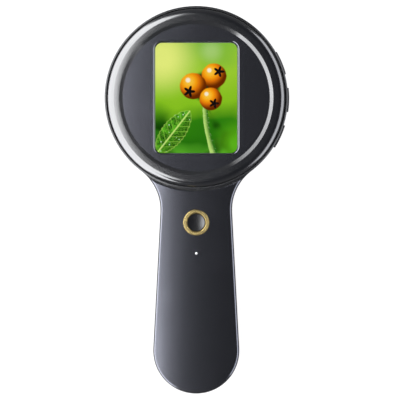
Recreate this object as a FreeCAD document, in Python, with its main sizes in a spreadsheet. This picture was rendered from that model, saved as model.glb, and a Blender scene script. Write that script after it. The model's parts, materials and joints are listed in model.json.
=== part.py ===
import FreeCAD, Part
import math
import os
import Sketcher

# An lcd digital microscope, lying with its screen up and its lens down.
# X right, Y to the top of the head, Z out of the screen.
# The origin is on the optical axis, on the table plane.

doc = FreeCAD.newDocument("lcd_microscope")
sheet = doc.addObject("Spreadsheet::Sheet", "dims")


class Size:
    """A number together with the sheet expression that gives it."""

    def __init__(self, value, text):
        self.value = float(value)
        self.text = text

    def joined(self, other, sign, value):
        return Size(value, "(" + self.text + " " + sign + " " + size(other).text + ")")

    def __add__(self, other):
        return self.joined(other, "+", self.value + size(other).value)

    def __sub__(self, other):
        return self.joined(other, "-", self.value - size(other).value)

    def __mul__(self, other):
        return self.joined(other, "*", self.value * size(other).value)

    def __truediv__(self, other):
        return self.joined(other, "/", self.value / size(other).value)

    def __radd__(self, other):
        return size(other) + self

    def __rsub__(self, other):
        return size(other) - self

    def __rmul__(self, other):
        return size(other) * self

    def __neg__(self):
        return Size(-self.value, "(0 - " + self.text + ")")


def size(number):
    """Gives a plain number or a Size as a Size."""
    if isinstance(number, Size):
        return number
    return Size(number, repr(float(number)) if number >= 0 else "(0 - " + repr(float(-number)) + ")")


def root(number):
    return Size(math.sqrt(number.value), "sqrt(" + number.text + ")")


def cosine(angle):
    return Size(math.cos(math.radians(angle.value)), "cos(" + angle.text + ")")


def sine(angle):
    return Size(math.sin(math.radians(angle.value)), "sin(" + angle.text + ")")


# Driving sizes, in millimetres and degrees

sheet_rows = []


def dim(name, number):
    """Writes one size to the sheet and gives it back."""
    sheet_rows.append(name)
    cell = "A" + str(len(sheet_rows))
    sheet.set(cell, str(number))
    sheet.setAlias(cell, name)
    return Size(number, "dims." + name)


head_radius = dim("head_radius", 33.95)
end_radius = dim("end_radius", 15.97)
end_distance = dim("end_distance", 93.66)
taper_angle = dim("taper_angle", 3.0)
neck_radius = dim("neck_radius", 18.0)
wall = dim("wall", 2.0)
wall_inside = head_radius - wall

back_height = dim("back_height", 8.0)
swell_lead = dim("swell_lead", 9.66)
swell_distance = end_distance - swell_lead
swell_start = head_radius - dim("groove_lead", 3.95)
swell_radius = dim("swell_radius", 90.0)
rear_round = dim("rear_round", 4.0)
parting_height = back_height + dim("rear_rise", 5.0)
parting_groove = dim("parting_groove", 0.2)
lip_height = dim("lip_height", 0.9)
lip_inset = dim("lip_inset", 1.0)
lip_gap = dim("lip_gap", 0.05)
deck_thick = dim("deck_thick", 1.2)
deck_top = parting_height + dim("front_rise", 8.0)
deck_under = deck_top - deck_thick
rim_top = deck_top + dim("rim_rise", 1.3)
rim_inner = head_radius - dim("rim_width", 0.65)
rim_bevel = dim("rim_bevel", 0.42)
rim_bevel_deep = dim("rim_bevel_deep", 0.26)
edge_round = dim("edge_round", 0.15)

panel_inset = dim("panel_inset", 0.4)
panel_start = head_radius + dim("panel_gap", 0.6)
panel_top = deck_top + dim("panel_rise", 1.2)
panel_bevel = dim("panel_bevel", 0.38)
panel_bevel_deep = dim("panel_bevel_deep", 0.235)
crown_radius = dim("crown_radius", 400.0)

face_under = deck_top + dim("tape_thick", 0.2)
face_top = face_under + dim("face_thick", 1.0)
bezel_outer = rim_inner - dim("bezel_gap", 0.35)
bezel_lip = bezel_outer - dim("bezel_width", 5.7)
bezel_crest = bezel_lip + dim("bezel_slope", 1.25)
bezel_height = dim("bezel_height", 1.16)
crest_lead = dim("crest_lead", 0.3)
crest_reach = dim("crest_reach", 1.7)
crest_curve = dim("crest_curve", 40.0)
bezel_curve = dim("bezel_curve", 3.4)
face_gap = dim("face_gap", 0.05)
face_radius = bezel_lip + dim("face_seat", 1.4)
tape_radius = face_radius - dim("tape_margin", 0.3)

view_wide = dim("view_wide", 30.4)
view_tall = dim("view_tall", 40.9)
view_corner = dim("view_corner", 2.5)
window_half_wide = view_wide / 2 + dim("border_side", 0.55)
window_half_tall = view_tall / 2 + dim("border_end", 0.35)
window_corner = dim("window_corner", 2.95)
window_bevel = dim("window_bevel", 0.2)
window_bevel_deep = dim("window_bevel_deep", 0.125)
lens_over = dim("lens_over", 0.75)
lens_gap = dim("lens_gap", 0.1)
mask_under = deck_under
mask_top = mask_under + dim("mask_thick", 0.2)
lcd_half = view_wide / 2 + dim("lcd_side", 2.15)
lcd_top = view_tall / 2 + dim("lcd_head", 1.55)
lcd_bottom = view_tall / 2 + dim("lcd_foot", 4.55)
lcd_low = mask_under - dim("lcd_thick", 1.4)
guide_low = lcd_low - dim("guide_thick", 1.2)
tray_low = guide_low - dim("tray_floor", 0.5)
tray_gap = dim("tray_gap", 0.1)
tray_wall = dim("tray_wall", 0.6)
tray_edge = tray_gap + tray_wall

board_high = tray_low - dim("board_gap", 0.3)
board_under = board_high - dim("board_thick", 1.0)
board_post = dim("board_post", 1.6)
board_screw = dim("board_screw", 0.8)
board_head = dim("board_head", 1.4)
board_hole = board_screw + dim("board_hole_gap", 0.05)
main_post_x = lcd_half + tray_edge + board_post + dim("board_post_gap", 0.55)
main_post_y = dim("main_post_y", 12.0)
board_half = main_post_x + dim("board_margin", 2.2)
board_reach = dim("board_reach", 20.0)
board_corner = dim("board_corner", 6.0)
chip_tall = dim("chip_tall", 1.0)
camera_side = dim("camera_side", 9.0)
camera_thick = dim("camera_thick", 0.8)
camera_low = board_under - dim("link_tall", 1.2) - camera_thick
sensor_side = dim("sensor_side", 3.6)
sensor_thick = dim("sensor_thick", 1.2)
flex_wide = dim("flex_wide", 12.0)
flex_thick = dim("flex_thick", 0.2)
flex_bend = dim("flex_bend", 0.6)
socket_deep = dim("socket_deep", 3.0)

button_y = dim("button_y", 46.2)
button_radius = dim("button_radius", 3.3)
button_gap = dim("button_gap", 0.1)
button_top = panel_top + dim("button_rise", 0.4)
button_dish = dim("button_dish", 0.15)
gold_inner = button_radius + button_gap
gold_outer = gold_inner + dim("gold_wide", 1.4)
gold_top = panel_top + dim("gold_rise", 0.65)
gold_bevel = dim("gold_bevel", 0.35)
hole_gap = dim("hole_gap", 0.05)
flange_radius = gold_inner + dim("flange_over", 1.0)
flange_low = deck_under - dim("flange_thick", 0.7)
light_y = button_y + dim("light_pitch", 11.4)
light_radius = dim("light_radius", 0.5)
switch_side = dim("switch_side", 2.6)
switch_top = board_high + dim("switch_tall", 1.8)
plunger_radius = dim("plunger_radius", 1.2)

side_pitch = dim("side_pitch", 23.6)
side_centre = dim("side_centre", -1.0)
side_outer = head_radius + dim("side_proud", 0.65)
side_wide = dim("side_wide", 8.9)
side_low = parting_height + dim("side_lift", 1.6)
side_tall = dim("side_tall", 3.6)
side_gap = dim("side_gap", 0.1)
side_over = dim("side_over", 0.4)
side_flange = wall_inside - dim("side_flange_thick", 0.85)
switch_face = side_flange - dim("switch_gap", 0.7)
strip_outer = switch_face - dim("side_switch_thick", 1.6)
carrier_outer = strip_outer - flex_thick
carrier_inner = carrier_outer - dim("carrier_thick", 1.2)
carrier_angle = side_pitch + dim("carrier_over", 7.4)

tube_bore = dim("tube_bore", 10.0)
tube_radius = tube_bore + dim("tube_wall", 2.0)
tube_neck = tube_radius - dim("tube_step", 0.4)
tube_top = back_height + wall + dim("nut_tall", 1.6)
nut_wide = dim("nut_wide", 2.8)
nose_radius = tube_radius + dim("nose_step", 1.5)
nose_height = dim("nose_height", 2.85)
window_low = dim("window_low", 0.6)
window_high = window_low + dim("window_thick", 1.0)
led_board_low = window_high + dim("spacer_tall", 1.0)
led_board_high = led_board_low + dim("led_board_thick", 0.6)
led_tall = dim("led_tall", 0.7)
led_circle = tube_bore - dim("led_inset", 2.4)
lip_bore = tube_bore - dim("lip_wide", 0.8)
fit_gap = dim("fit_gap", 0.05)
ring_radius = nose_radius + dim("ring_proud", 3.0)
ring_gap = dim("ring_gap", 0.1)
ring_bevel = dim("ring_bevel", 0.5)
cam_pitch = dim("cam_pitch", 3.6)
cam_turn = dim("cam_turn", 94.0)
cam_depth = dim("cam_depth", 1.05)
pin_radius = dim("pin_radius", 0.75)
pin_gap = dim("pin_gap", 0.05)
focus_travel = dim("focus_travel", 0.9)
cell_low = led_board_high + focus_travel + dim("cell_gap", 0.2)
cell_high = cell_low + dim("cell_tall", 3.6)
pin_height = cell_low + dim("pin_lift", 1.0)
optic_radius = dim("optic_radius", 5.5)
optic_clear = optic_radius - dim("optic_seat", 0.9)
optic_edge = dim("optic_edge", 1.2)
optic_rise = dim("optic_rise", 0.6)
lead_half = dim("lead_half", 1.3)

screw_radius = dim("screw_radius", 1.0)
screw_head = dim("screw_head", 1.9)
screw_seat = back_height + wall
screw_tip = screw_seat + dim("screw_long", 8.0)
post_radius = screw_head + dim("post_wall", 1.0)
boss_radius = screw_radius + dim("boss_wall", 1.6)
screw_inset = dim("screw_inset", 4.35)
screw_angle = dim("screw_angle", 62.0)
neck_screw_x = end_radius - dim("neck_screw_inset", 3.47)
neck_screw_y = head_radius - dim("neck_screw_lead", 4.25)
end_screw_x = end_radius - dim("end_screw_inset", 7.37)
end_screw_y = end_distance + dim("end_screw_past", 6.34)

battery_long = dim("battery_long", 34.0)
battery_half = dim("battery_half", 10.5)
battery_y = end_distance - dim("battery_lead", 14.66)
battery_over = board_under - dim("foam_thick", 1.6)
battery_under = dim("battery_under", 5.0)
battery_round = dim("battery_round", 1.0)
handle_half = dim("handle_half", 10.5)
handle_post_x = handle_half - 2.3
handle_start = head_radius + dim("handle_lead", 6.25)
handle_step = end_distance + dim("handle_past", 2.34)
usb_half = dim("usb_half", 4.47)
usb_tall = dim("usb_tall", 3.2)
usb_long = dim("usb_long", 7.3)
usb_gap = dim("usb_gap", 0.15)
usb_mouth = end_distance + end_radius - dim("usb_inset", 0.93)
usb_back = usb_mouth - usb_long
tongue_half = usb_half + 0.93
tongue_end = usb_back + dim("usb_seat", 3.2)
card_y = end_distance - dim("card_lead", 6.66)
card_half = dim("card_half", 7.0)
card_mouth_x = end_radius - dim("card_inset", 2.67)
card_deep = dim("card_deep", 14.2)
card_tall = dim("card_tall", 1.9)
card_low = board_high + 0.3

doc.recompute()

# Outlines: lists of corners, and of the edges that leave them


class Edge:
    """An edge of an outline: straight, or an arc of a radius on one side."""

    def __init__(self, start, radius=None, turn=1, long_way=False):
        self.start = start
        self.radius = radius
        self.turn = turn
        self.long_way = long_way


def polygon(*corners):
    """An outline of straight edges."""
    return [Edge((size(x), size(y))) for x, y in corners]


def box(x_low, x_high, y_low, y_high):
    """A rectangle."""
    return polygon((x_low, y_low), (x_high, y_low), (x_high, y_high), (x_low, y_high))


def rounded(half_wide, y_low, y_high, corner):
    """A rectangle centred across X with four round corners."""
    inner = half_wide - corner
    return [
        Edge((-inner, size(y_low))),
        Edge((inner, size(y_low)), corner),
        Edge((half_wide, y_low + corner)),
        Edge((half_wide, y_high - corner), corner),
        Edge((inner, size(y_high))),
        Edge((-inner, size(y_high)), corner),
        Edge((-half_wide, y_high - corner)),
        Edge((-half_wide, y_low + corner), corner),
    ]


class Disc:
    """A circle in a sketch."""

    def __init__(self, x, y, radius):
        self.x = size(x)
        self.y = size(y)
        self.radius = size(radius)


def keyhole(inset):
    """The plan of head, neck and handle, moved inward by an inset."""
    head = head_radius - inset
    end = end_radius - inset
    neck = neck_radius + inset
    cos_t = cosine(taper_angle)
    sin_t = sine(taper_angle)
    line = end_radius - end_distance * sin_t
    reach = head_radius + neck_radius
    along = root(reach * reach - (line + neck_radius) * (line + neck_radius))
    centre_x = (line + neck_radius) * cos_t + along * sin_t
    centre_y = (line + neck_radius) * sin_t - along * cos_t
    head_x = centre_x * head / reach
    head_y = centre_y * head / reach
    neck_x = centre_x - neck * cos_t
    neck_y = centre_y - neck * sin_t
    end_x = end * cos_t
    end_y = end * sin_t - end_distance
    return [
        Edge((head_x, head_y), head, 1, True),
        Edge((-head_x, head_y), neck, -1),
        Edge((-neck_x, neck_y)),
        Edge((-end_x, end_y), end, 1, True),
        Edge((end_x, end_y)),
        Edge((neck_x, neck_y), neck, -1),
    ]


# Sketches and features

ORIGIN_ROLES = {"XY": "XY_Plane", "XZ": "XZ_Plane", "YZ": "YZ_Plane", "X": "X_Axis", "Z": "Z_Axis"}
SMALLEST_CUT = 1e-3
bodies = {}


def new_body(name):
    """An empty body that becomes one sub-part."""
    body = doc.addObject("PartDesign::Body", name)
    body.Label = name
    bodies[name] = body
    return body


def datum(body, role):
    """A plane or an axis of the body's own origin."""
    for feature in body.Origin.OriginFeatures:
        if feature.Role == ORIGIN_ROLES[role]:
            return feature
    raise ValueError(role)


def arc_of(start, end, edge):
    """The arc from start to end, anticlockwise where turn is 1."""
    chord_x = end[0] - start[0]
    chord_y = end[1] - start[1]
    chord = math.hypot(chord_x, chord_y)
    radius = edge.radius.value
    offset = math.sqrt(max(radius * radius - chord * chord / 4.0, 0.0))
    side = edge.turn * (-1.0 if edge.long_way else 1.0)
    centre_x = (start[0] + end[0]) / 2.0 - side * chord_y / chord * offset
    centre_y = (start[1] + end[1]) / 2.0 + side * chord_x / chord * offset
    first = math.atan2(start[1] - centre_y, start[0] - centre_x)
    last = math.atan2(end[1] - centre_y, end[0] - centre_x)
    if edge.turn < 0:
        first, last = last, first
    circle = Part.Circle(FreeCAD.Vector(centre_x, centre_y, 0), FreeCAD.Vector(0, 0, 1), radius)
    return Part.ArcOfCircle(circle, first, last)


def pin_point(sketch, geometry, point, x, y):
    """Holds one point of a sketch at two sizes."""
    for kind, number in (("DistanceX", x), ("DistanceY", y)):
        index = sketch.addConstraint(Sketcher.Constraint(kind, geometry, point, number.value))
        sketch.setExpression("Constraints[" + str(index) + "]", number.text)


def hold_radius(sketch, geometry, radius):
    index = sketch.addConstraint(Sketcher.Constraint("Radius", geometry, radius.value))
    sketch.setExpression("Constraints[" + str(index) + "]", radius.text)


def draw(sketch, outlines):
    """Draws closed outlines and discs, every size bound to the sheet."""
    for outline in outlines:
        if isinstance(outline, Disc):
            centre = FreeCAD.Vector(outline.x.value, outline.y.value, 0)
            circle = Part.Circle(centre, FreeCAD.Vector(0, 0, 1), outline.radius.value)
            geometry = sketch.addGeometry(circle, False)
            pin_point(sketch, geometry, 3, outline.x, outline.y)
            hold_radius(sketch, geometry, outline.radius)
            continue
        first = sketch.GeometryCount
        ends = []
        for place, edge in enumerate(outline):
            start = (edge.start[0].value, edge.start[1].value)
            after = outline[(place + 1) % len(outline)].start
            end = (after[0].value, after[1].value)
            if edge.radius is None:
                shape = Part.LineSegment(FreeCAD.Vector(*start, 0), FreeCAD.Vector(*end, 0))
            else:
                shape = arc_of(start, end, edge)
            sketch.addGeometry(shape, False)
            backwards = edge.radius is not None and edge.turn < 0
            ends.append((2, 1) if backwards else (1, 2))
        for place, edge in enumerate(outline):
            after = (place + 1) % len(outline)
            joint = Sketcher.Constraint(
                "Coincident", first + place, ends[place][1], first + after, ends[after][0]
            )
            sketch.addConstraint(joint)
            pin_point(sketch, first + place, ends[place][0], edge.start[0], edge.start[1])
            if edge.radius is not None:
                hold_radius(sketch, first + place, edge.radius)


def new_sketch(body, name, plane, outlines, height=None):
    """A sketch on an origin plane of the body, lifted by a height."""
    sketch = body.newObject("Sketcher::SketchObject", name)
    sketch.AttachmentSupport = [(datum(body, plane), "")]
    sketch.MapMode = "FlatFace"
    if height is not None:
        sketch.setExpression("AttachmentOffset.Base.z", size(height).text)
    draw(sketch, outlines)
    return sketch


def checked(body, before, cuts):
    """Recomputes and makes sure that the last feature changed the volume."""
    doc.recompute()
    change = body.Shape.Volume - before
    if abs(change) < SMALLEST_CUT or (change < 0) != cuts:
        raise RuntimeError(body.Label + ": " + body.Tip.Label + " changed " + str(change))


def volume(body):
    return body.Shape.Volume if body.Tip is not None and not body.Shape.isNull() else 0.0


def pad(body, name, outlines, low, high, plane="XY", middle=False):
    """A pad between two heights, or to both sides of a plane."""
    before = volume(body)
    sketch = new_sketch(body, name + "_plan", plane, outlines, None if middle else low)
    feature = body.newObject("PartDesign::Pad", name)
    feature.Profile = sketch
    feature.setExpression("Length", (size(high) - low).text)
    feature.Midplane = middle
    checked(body, before, False)
    return feature


def pocket(body, name, outlines, low, high, plane="XY", middle=False):
    """A pocket between two heights, or to both sides of a plane."""
    before = volume(body)
    sketch = new_sketch(body, name + "_plan", plane, outlines, None if middle else high)
    feature = body.newObject("PartDesign::Pocket", name)
    feature.Profile = sketch
    feature.setExpression("Length", (size(high) - low).text)
    feature.Midplane = middle
    checked(body, before, True)
    return feature


def turned(body, name, outlines, cuts=False):
    """A revolution about Z, or a groove, of outlines in radius and height."""
    before = volume(body)
    sketch = new_sketch(body, name + "_profile", "XZ", outlines)
    kind = "PartDesign::Groove" if cuts else "PartDesign::Revolution"
    feature = body.newObject(kind, name)
    feature.Profile = sketch
    feature.ReferenceAxis = (sketch, ["V_Axis"])
    feature.Angle = 360
    checked(body, before, cuts)
    return feature


def around(body, name, originals, count, cuts):
    """Repeats features around Z."""
    before = volume(body)
    feature = body.newObject("PartDesign::PolarPattern", name)
    feature.Originals = originals
    feature.Axis = (datum(body, "Z"), [""])
    feature.Angle = 360
    feature.Occurrences = count
    body.Tip = feature
    checked(body, before, cuts)
    return feature


def dressed(body, kind, name, wanted, amount):
    """A fillet or a chamfer on the edges of the body that pass a test."""
    base = body.Tip
    names = []
    for place, edge in enumerate(base.Shape.Edges, 1):
        if wanted(edge):
            names.append("Edge" + str(place))
    if not names:
        raise RuntimeError(body.Label + ": no edges for " + name)
    before = volume(body)
    feature = body.newObject("PartDesign::" + kind, name)
    feature.Base = (base, names)
    feature.setExpression("Radius" if kind == "Fillet" else "Size", size(amount).text)
    checked(body, before, True)
    return feature


def sloped(body, name, wanted, wide, deep):
    """A chamfer that runs farther over the upper face than down the wall."""
    feature = dressed(body, "Chamfer", name, wanted, deep)
    feature.ChamferType = "Two distances"
    feature.setExpression("Size2", wide.text)
    doc.recompute()
    return feature


def at_height(height):
    """A test for edges that lie in a level plane."""

    def test(edge):
        box_of = edge.BoundBox
        return abs(box_of.ZMin - height.value) < 1e-4 and abs(box_of.ZMax - height.value) < 1e-4

    return test


# Shared places

screw_circle = head_radius - screw_inset
screw_places = [
    (screw_circle * cosine(screw_angle), screw_circle * sine(screw_angle)),
    (neck_screw_x, -neck_screw_y),
    (end_screw_x, -end_screw_y),
]
board_places = [
    (main_post_x, main_post_y),
    (main_post_x, -main_post_y),
    (handle_post_x, -handle_start - 2.5),
    (handle_post_x, -handle_start - 28.0),
]


def mirrored(places):
    """Every place and its mirror image across the Y axis."""
    out = []
    for x, y in places:
        out.append((size(x), size(y)))
        out.append((-size(x), size(y)))
    return out


def discs(places, radius):
    return [Disc(x, y, radius) for x, y in mirrored(places)]


# Rear shell: a keyhole pad whose back is cut to a palm swell, rounded and hollowed

swell_run = swell_distance - swell_start
swell_sum = (swell_run * swell_run + back_height * back_height) / (back_height * 2)
hollow_radius = swell_sum - swell_radius
past_head = head_radius + 5
past_end = end_distance + end_radius + 5


def swell_height(distance):
    """The height of the palm swell at a distance behind the head centre."""
    run = distance - swell_distance
    return swell_radius - root(swell_radius * swell_radius - run * run)


def back_curve(rise):
    """The outline of all that lies behind the back, raised by a wall thickness."""
    share = (hollow_radius + rise) / swell_sum
    turn_x = -swell_start - swell_run * share
    turn_z = back_height - hollow_radius + (swell_sum - back_height) * share
    curve = swell_radius - rise
    end_run = past_end - swell_distance
    end_z = swell_radius - root(curve * curve - end_run * end_run)
    return [
        Edge((past_head, back_height + rise)),
        Edge((past_head, size(-3))),
        Edge((-past_end, size(-3))),
        Edge((-past_end, end_z), curve, 1),
        Edge((turn_x, turn_z), hollow_radius + rise, -1),
        Edge((-swell_start, back_height + rise)),
    ]


def rear_rim(edge):
    """The lower edges that run along the sides, not across them."""
    low = edge.BoundBox
    return low.ZMax < parting_height.value - 1.0 and low.YMax - low.YMin > 1e-4


def rear_form(body, inset, top, rounding):
    """The outside of the rear shell, or its inside when inset by the wall."""
    name = body.Label
    pad(body, name + "_block", [keyhole(inset)], size(-2), top)
    across = head_radius * 2 + 10
    pocket(body, name + "_back", [back_curve(inset)], size(0), across, "YZ", True)
    dressed(body, "Fillet", name + "_round", rear_rim, rounding)


rear_shell = new_body("rear_shell")
rear_form(rear_shell, size(0), parting_height, rear_round)
dressed(rear_shell, "Chamfer", "parting_groove", at_height(parting_height), parting_groove)
rear_core = new_body("rear_core")
rear_form(rear_core, wall, parting_height + 1, rear_round - wall)
del bodies["rear_core"]
before_hollow = volume(rear_shell)
hollow = rear_shell.newObject("PartDesign::Boolean", "rear_hollow")
hollow.setObjects([rear_core])
hollow.Type = "Cut"
checked(rear_shell, before_hollow, True)
head_screws = screw_places[:2]
end_screws = screw_places[2:]
post_start = back_height + wall * 0.7
pad(rear_shell, "head_posts", discs(head_screws, post_radius), post_start, parting_height)
post_start = swell_height(end_screw_y) + wall * 0.9
pad(rear_shell, "end_posts", discs(end_screws, post_radius), post_start, parting_height)
rib_half = wall * 0.3
for number, share in enumerate((-0.38, 0.0, 0.38)):
    rib_y = battery_y - battery_long * share
    rib = box(-battery_half, battery_half, -rib_y - rib_half, -rib_y + rib_half)
    start = swell_height(rib_y) + wall * 0.5
    pad(rear_shell, "battery_rib_" + str(number), [rib], start, battery_under)
lip_loops = [keyhole(lip_inset + lip_gap), keyhole(wall)]
pad(rear_shell, "rear_lip", lip_loops, parting_height, parting_height + lip_height)
pocket(rear_shell, "screw_wells", discs(screw_places, screw_head + 0.15), size(-2), screw_seat)
pocket(rear_shell, "screw_holes", discs(screw_places, screw_radius + 0.1), screw_seat - 1, parting_height + 1)
pocket(rear_shell, "barrel_bore", [Disc(0, 0, tube_neck)], back_height - 2, screw_seat + 2)

# Front shell: walls, deck, raised head rim, bosses and openings

front_shell = new_body("front_shell")
pad(front_shell, "front_block", [keyhole(size(0))], parting_height, deck_top)
pocket(front_shell, "front_hollow", [keyhole(wall)], parting_height, deck_under)
dressed(front_shell, "Fillet", "handle_edge", at_height(deck_top), edge_round)
rim_profile = polygon(
    (rim_inner, deck_top - 1),
    (head_radius, deck_top - 1),
    (head_radius, rim_top - rim_bevel_deep),
    (head_radius - rim_bevel, rim_top),
    (rim_inner, rim_top),
)
turned(front_shell, "head_rim", [rim_profile])
pad(front_shell, "screw_bosses", discs(screw_places, boss_radius), parting_height, deck_under + 0.5)
lap = parting_height + lip_height + lip_gap
rebate_loops = [keyhole(lip_inset), keyhole(wall + lip_gap)]
pocket(front_shell, "lip_rebate", rebate_loops, parting_height, lap)
pad(front_shell, "board_posts", discs(board_places, board_post), board_high, deck_under + 0.5)
pocket(front_shell, "boss_holes", discs(screw_places, screw_radius), parting_height, screw_tip + 0.5)
screw_end = deck_under - 0.9
pocket(front_shell, "post_holes", discs(board_places, board_screw), board_high, screw_end + 0.4)
lens_half_wide = window_half_wide + lens_over
lens_half_tall = window_half_tall + lens_over
lens_corner = window_corner + lens_over
opening_half = lens_half_wide + lens_gap
opening_tall = lens_half_tall + lens_gap
opening = rounded(opening_half, -opening_tall, opening_tall, lens_corner + lens_gap)
pocket(front_shell, "screen_opening", [opening], deck_under - 1, deck_top + 1)
handle_holes = [Disc(0, -button_y, gold_inner), Disc(0, -light_y, light_radius + hole_gap)]
pocket(front_shell, "handle_holes", handle_holes, deck_under - 1, deck_top + 1)
side_angles = {
    "upper": side_centre + side_pitch,
    "middle": side_centre,
    "lower": side_centre - side_pitch,
}
side_half = side_wide / 2
slot_half = side_half + side_gap
slot_low = side_low - side_gap
slot_high = side_low + side_tall + side_gap


def turned_box(x_low, x_high, half, angle):
    """A rectangle on the X axis, turned about the origin."""
    corners = ((x_low, -half), (x_high, -half), (x_high, half), (x_low, half))
    out = []
    for x, y in corners:
        out.append((x * cosine(angle) - y * sine(angle), x * sine(angle) + y * cosine(angle)))
    return polygon(*out)


slot_in = wall_inside - 0.75
slot_out = side_outer + 1.4
side_slots = [turned_box(slot_in, slot_out, slot_half, angle) for angle in side_angles.values()]
pocket(front_shell, "side_slots", side_slots, slot_low, slot_high)
usb_middle = board_high + usb_tall / 2
usb_hole_half = usb_half + usb_gap
usb_hole_tall = usb_tall / 2 + usb_gap
usb_slot = rounded(usb_hole_half, usb_middle - usb_hole_tall, usb_middle + usb_hole_tall, usb_hole_tall - 0.05)


def sideways(body, name, plane, outlines, near, far, reverse, cuts):
    """A pad or a pocket along X or Y, between two distances from its plane."""
    before = volume(body)
    sketch = new_sketch(body, name + "_plan", plane, outlines, near)
    kind = "PartDesign::Pocket" if cuts else "PartDesign::Pad"
    feature = body.newObject(kind, name)
    feature.Profile = sketch
    feature.setExpression("Length", (far - near).text)
    feature.Reversed = reverse
    checked(body, before, cuts)
    return feature


usb_wall = end_distance + end_radius
sideways(front_shell, "usb_hole", "XZ", [usb_slot], usb_wall - wall * 2.5, usb_wall + 2, True, True)
card_half_slot = card_half - 1
card_slot = box(-card_y - card_half_slot, -card_y + card_half_slot, card_low, card_low + 1.2)
sideways(front_shell, "card_slot", "YZ", [card_slot], -end_radius - 2, -end_radius + 4, True, True)

# Handle panel: a crowned plate with a hollow top edge that follows the head

handle_panel = new_body("handle_panel")
panel_loop = keyhole(panel_inset)
pad(handle_panel, "panel_block", [panel_loop], deck_top, panel_top + 0.5)
crown_half = end_radius + 25
crown_side = panel_top - crown_radius + root(crown_radius * crown_radius - crown_half * crown_half)
crown = [
    Edge((-crown_half, panel_top + 3)),
    Edge((-crown_half, crown_side), crown_radius, -1),
    Edge((crown_half, crown_side)),
    Edge((crown_half, panel_top + 3)),
]
pocket(handle_panel, "panel_crown", [crown], size(0), past_end * 2, "XZ", True)
head_clear = [Disc(0, 0, panel_start)]
pocket(handle_panel, "panel_start_arc", head_clear, deck_top - 1, panel_top + 2)


def panel_rim(edge):
    """The outer upper edges of the panel."""
    return edge.BoundBox.ZMin > deck_top.value + 0.1


sloped(handle_panel, "panel_edge", panel_rim, panel_bevel, panel_bevel_deep)
panel_holes = [Disc(0, -button_y, gold_outer + hole_gap), Disc(0, -light_y, light_radius + 0.15)]
pocket(handle_panel, "panel_holes", panel_holes, deck_top - 1, panel_top + 1)

# Head front: bezel ring, face, tape, window lens and display stack

crest_top = face_top + bezel_height
crest_stand = root(crest_curve * crest_curve - crest_reach * crest_reach)
shoulder = bezel_crest + crest_lead + crest_reach
shoulder_height = crest_top - crest_curve + crest_stand
roll_share = bezel_curve / crest_curve
roll_run = bezel_outer - shoulder + crest_reach * roll_share
roll_height = shoulder_height - crest_stand * roll_share
bezel_side = roll_height + root(bezel_curve * bezel_curve - roll_run * roll_run)
bezel_ring = new_body("bezel_ring")
bezel_profile = [
    Edge((bezel_lip, face_top)),
    Edge((face_radius + face_gap, face_top)),
    Edge((face_radius + face_gap, deck_top)),
    Edge((bezel_outer, deck_top)),
    Edge((bezel_outer, bezel_side), bezel_curve, 1),
    Edge((shoulder, shoulder_height), crest_curve, 1),
    Edge((bezel_crest, crest_top)),
]
turned(bezel_ring, "bezel_turned", [bezel_profile])

face_disc = new_body("face_disc")
window_loop = rounded(window_half_wide, -window_half_tall, window_half_tall, window_corner)
pad(face_disc, "face_plate", [Disc(0, 0, face_radius), window_loop], face_under, face_top)


def window_rim(edge):
    """The upper edges of the window in the face."""
    box_of = edge.BoundBox
    inside = box_of.XMax < window_half_wide.value + 1 and box_of.XMin > -window_half_wide.value - 1
    return inside and at_height(face_top)(edge)


sloped(face_disc, "window_edge", window_rim, window_bevel, window_bevel_deep)

face_tape = new_body("face_tape")
pad(face_tape, "tape_sheet", [Disc(0, 0, tape_radius), opening], deck_top, face_under)

screen_lens = new_body("screen_lens")
lens_loop = rounded(lens_half_wide, -lens_half_tall, lens_half_tall, lens_corner)
pad(screen_lens, "lens_plate", [lens_loop], mask_top, face_under)

screen_mask = new_body("screen_mask")
view_loop = rounded(view_wide / 2, -view_tall / 2, view_tall / 2, view_corner)
pad(screen_mask, "mask_sheet", [lens_loop, view_loop], mask_under, mask_top)

lcd_plan = box(-lcd_half, lcd_half, -lcd_bottom, lcd_top)
lcd_panel = new_body("lcd_panel")
pad(lcd_panel, "lcd_glass", [lcd_plan], lcd_low, mask_under)
light_guide = new_body("light_guide")
pad(light_guide, "guide_plate", [lcd_plan], guide_low, lcd_low)

lcd_tray = new_body("lcd_tray")
tray_in = lcd_half + tray_gap
tray_out = tray_in + tray_wall
tray_inside = box(-tray_in, tray_in, -lcd_bottom - tray_gap, lcd_top + tray_gap)
tray_outside = box(-tray_out, tray_out, -lcd_bottom - tray_edge, lcd_top + tray_edge)
pad(lcd_tray, "tray_block", [tray_outside], tray_low, deck_under)
pocket(lcd_tray, "tray_hollow", [tray_inside], guide_low, deck_under)
flex_half = flex_wide / 2
notch = box(-flex_half - 0.3, flex_half + 0.3, -lcd_bottom - 2, -lcd_bottom + 0.05)
pocket(lcd_tray, "flex_notch", [notch], lcd_low + 0.2, deck_under)

display_flex = new_body("display_flex")
flex_top = lcd_low + 0.6
flex_low = board_under - flex_bend
turn_out = flex_bend
turn_in = turn_out - flex_thick
flex_out = -lcd_bottom - 3.0
flex_end = -board_reach + 1.5
flex_profile = [
    Edge((-lcd_bottom, flex_top)),
    Edge((flex_out + turn_out, flex_top), turn_out, 1),
    Edge((flex_out, flex_top - turn_out)),
    Edge((flex_out, flex_low + turn_out), turn_out, 1),
    Edge((flex_out + turn_out, flex_low)),
    Edge((flex_end, flex_low)),
    Edge((flex_end, flex_low + flex_thick)),
    Edge((flex_out + turn_out, flex_low + flex_thick), turn_in, -1),
    Edge((flex_out + flex_thick, flex_low + turn_out)),
    Edge((flex_out + flex_thick, flex_top - turn_out), turn_in, -1),
    Edge((flex_out + turn_out, flex_top - flex_thick)),
    Edge((-lcd_bottom, flex_top - flex_thick)),
]
pad(display_flex, "flex_strip", [flex_profile], size(0), flex_wide, "YZ", True)

# Electronics of the head

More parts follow.
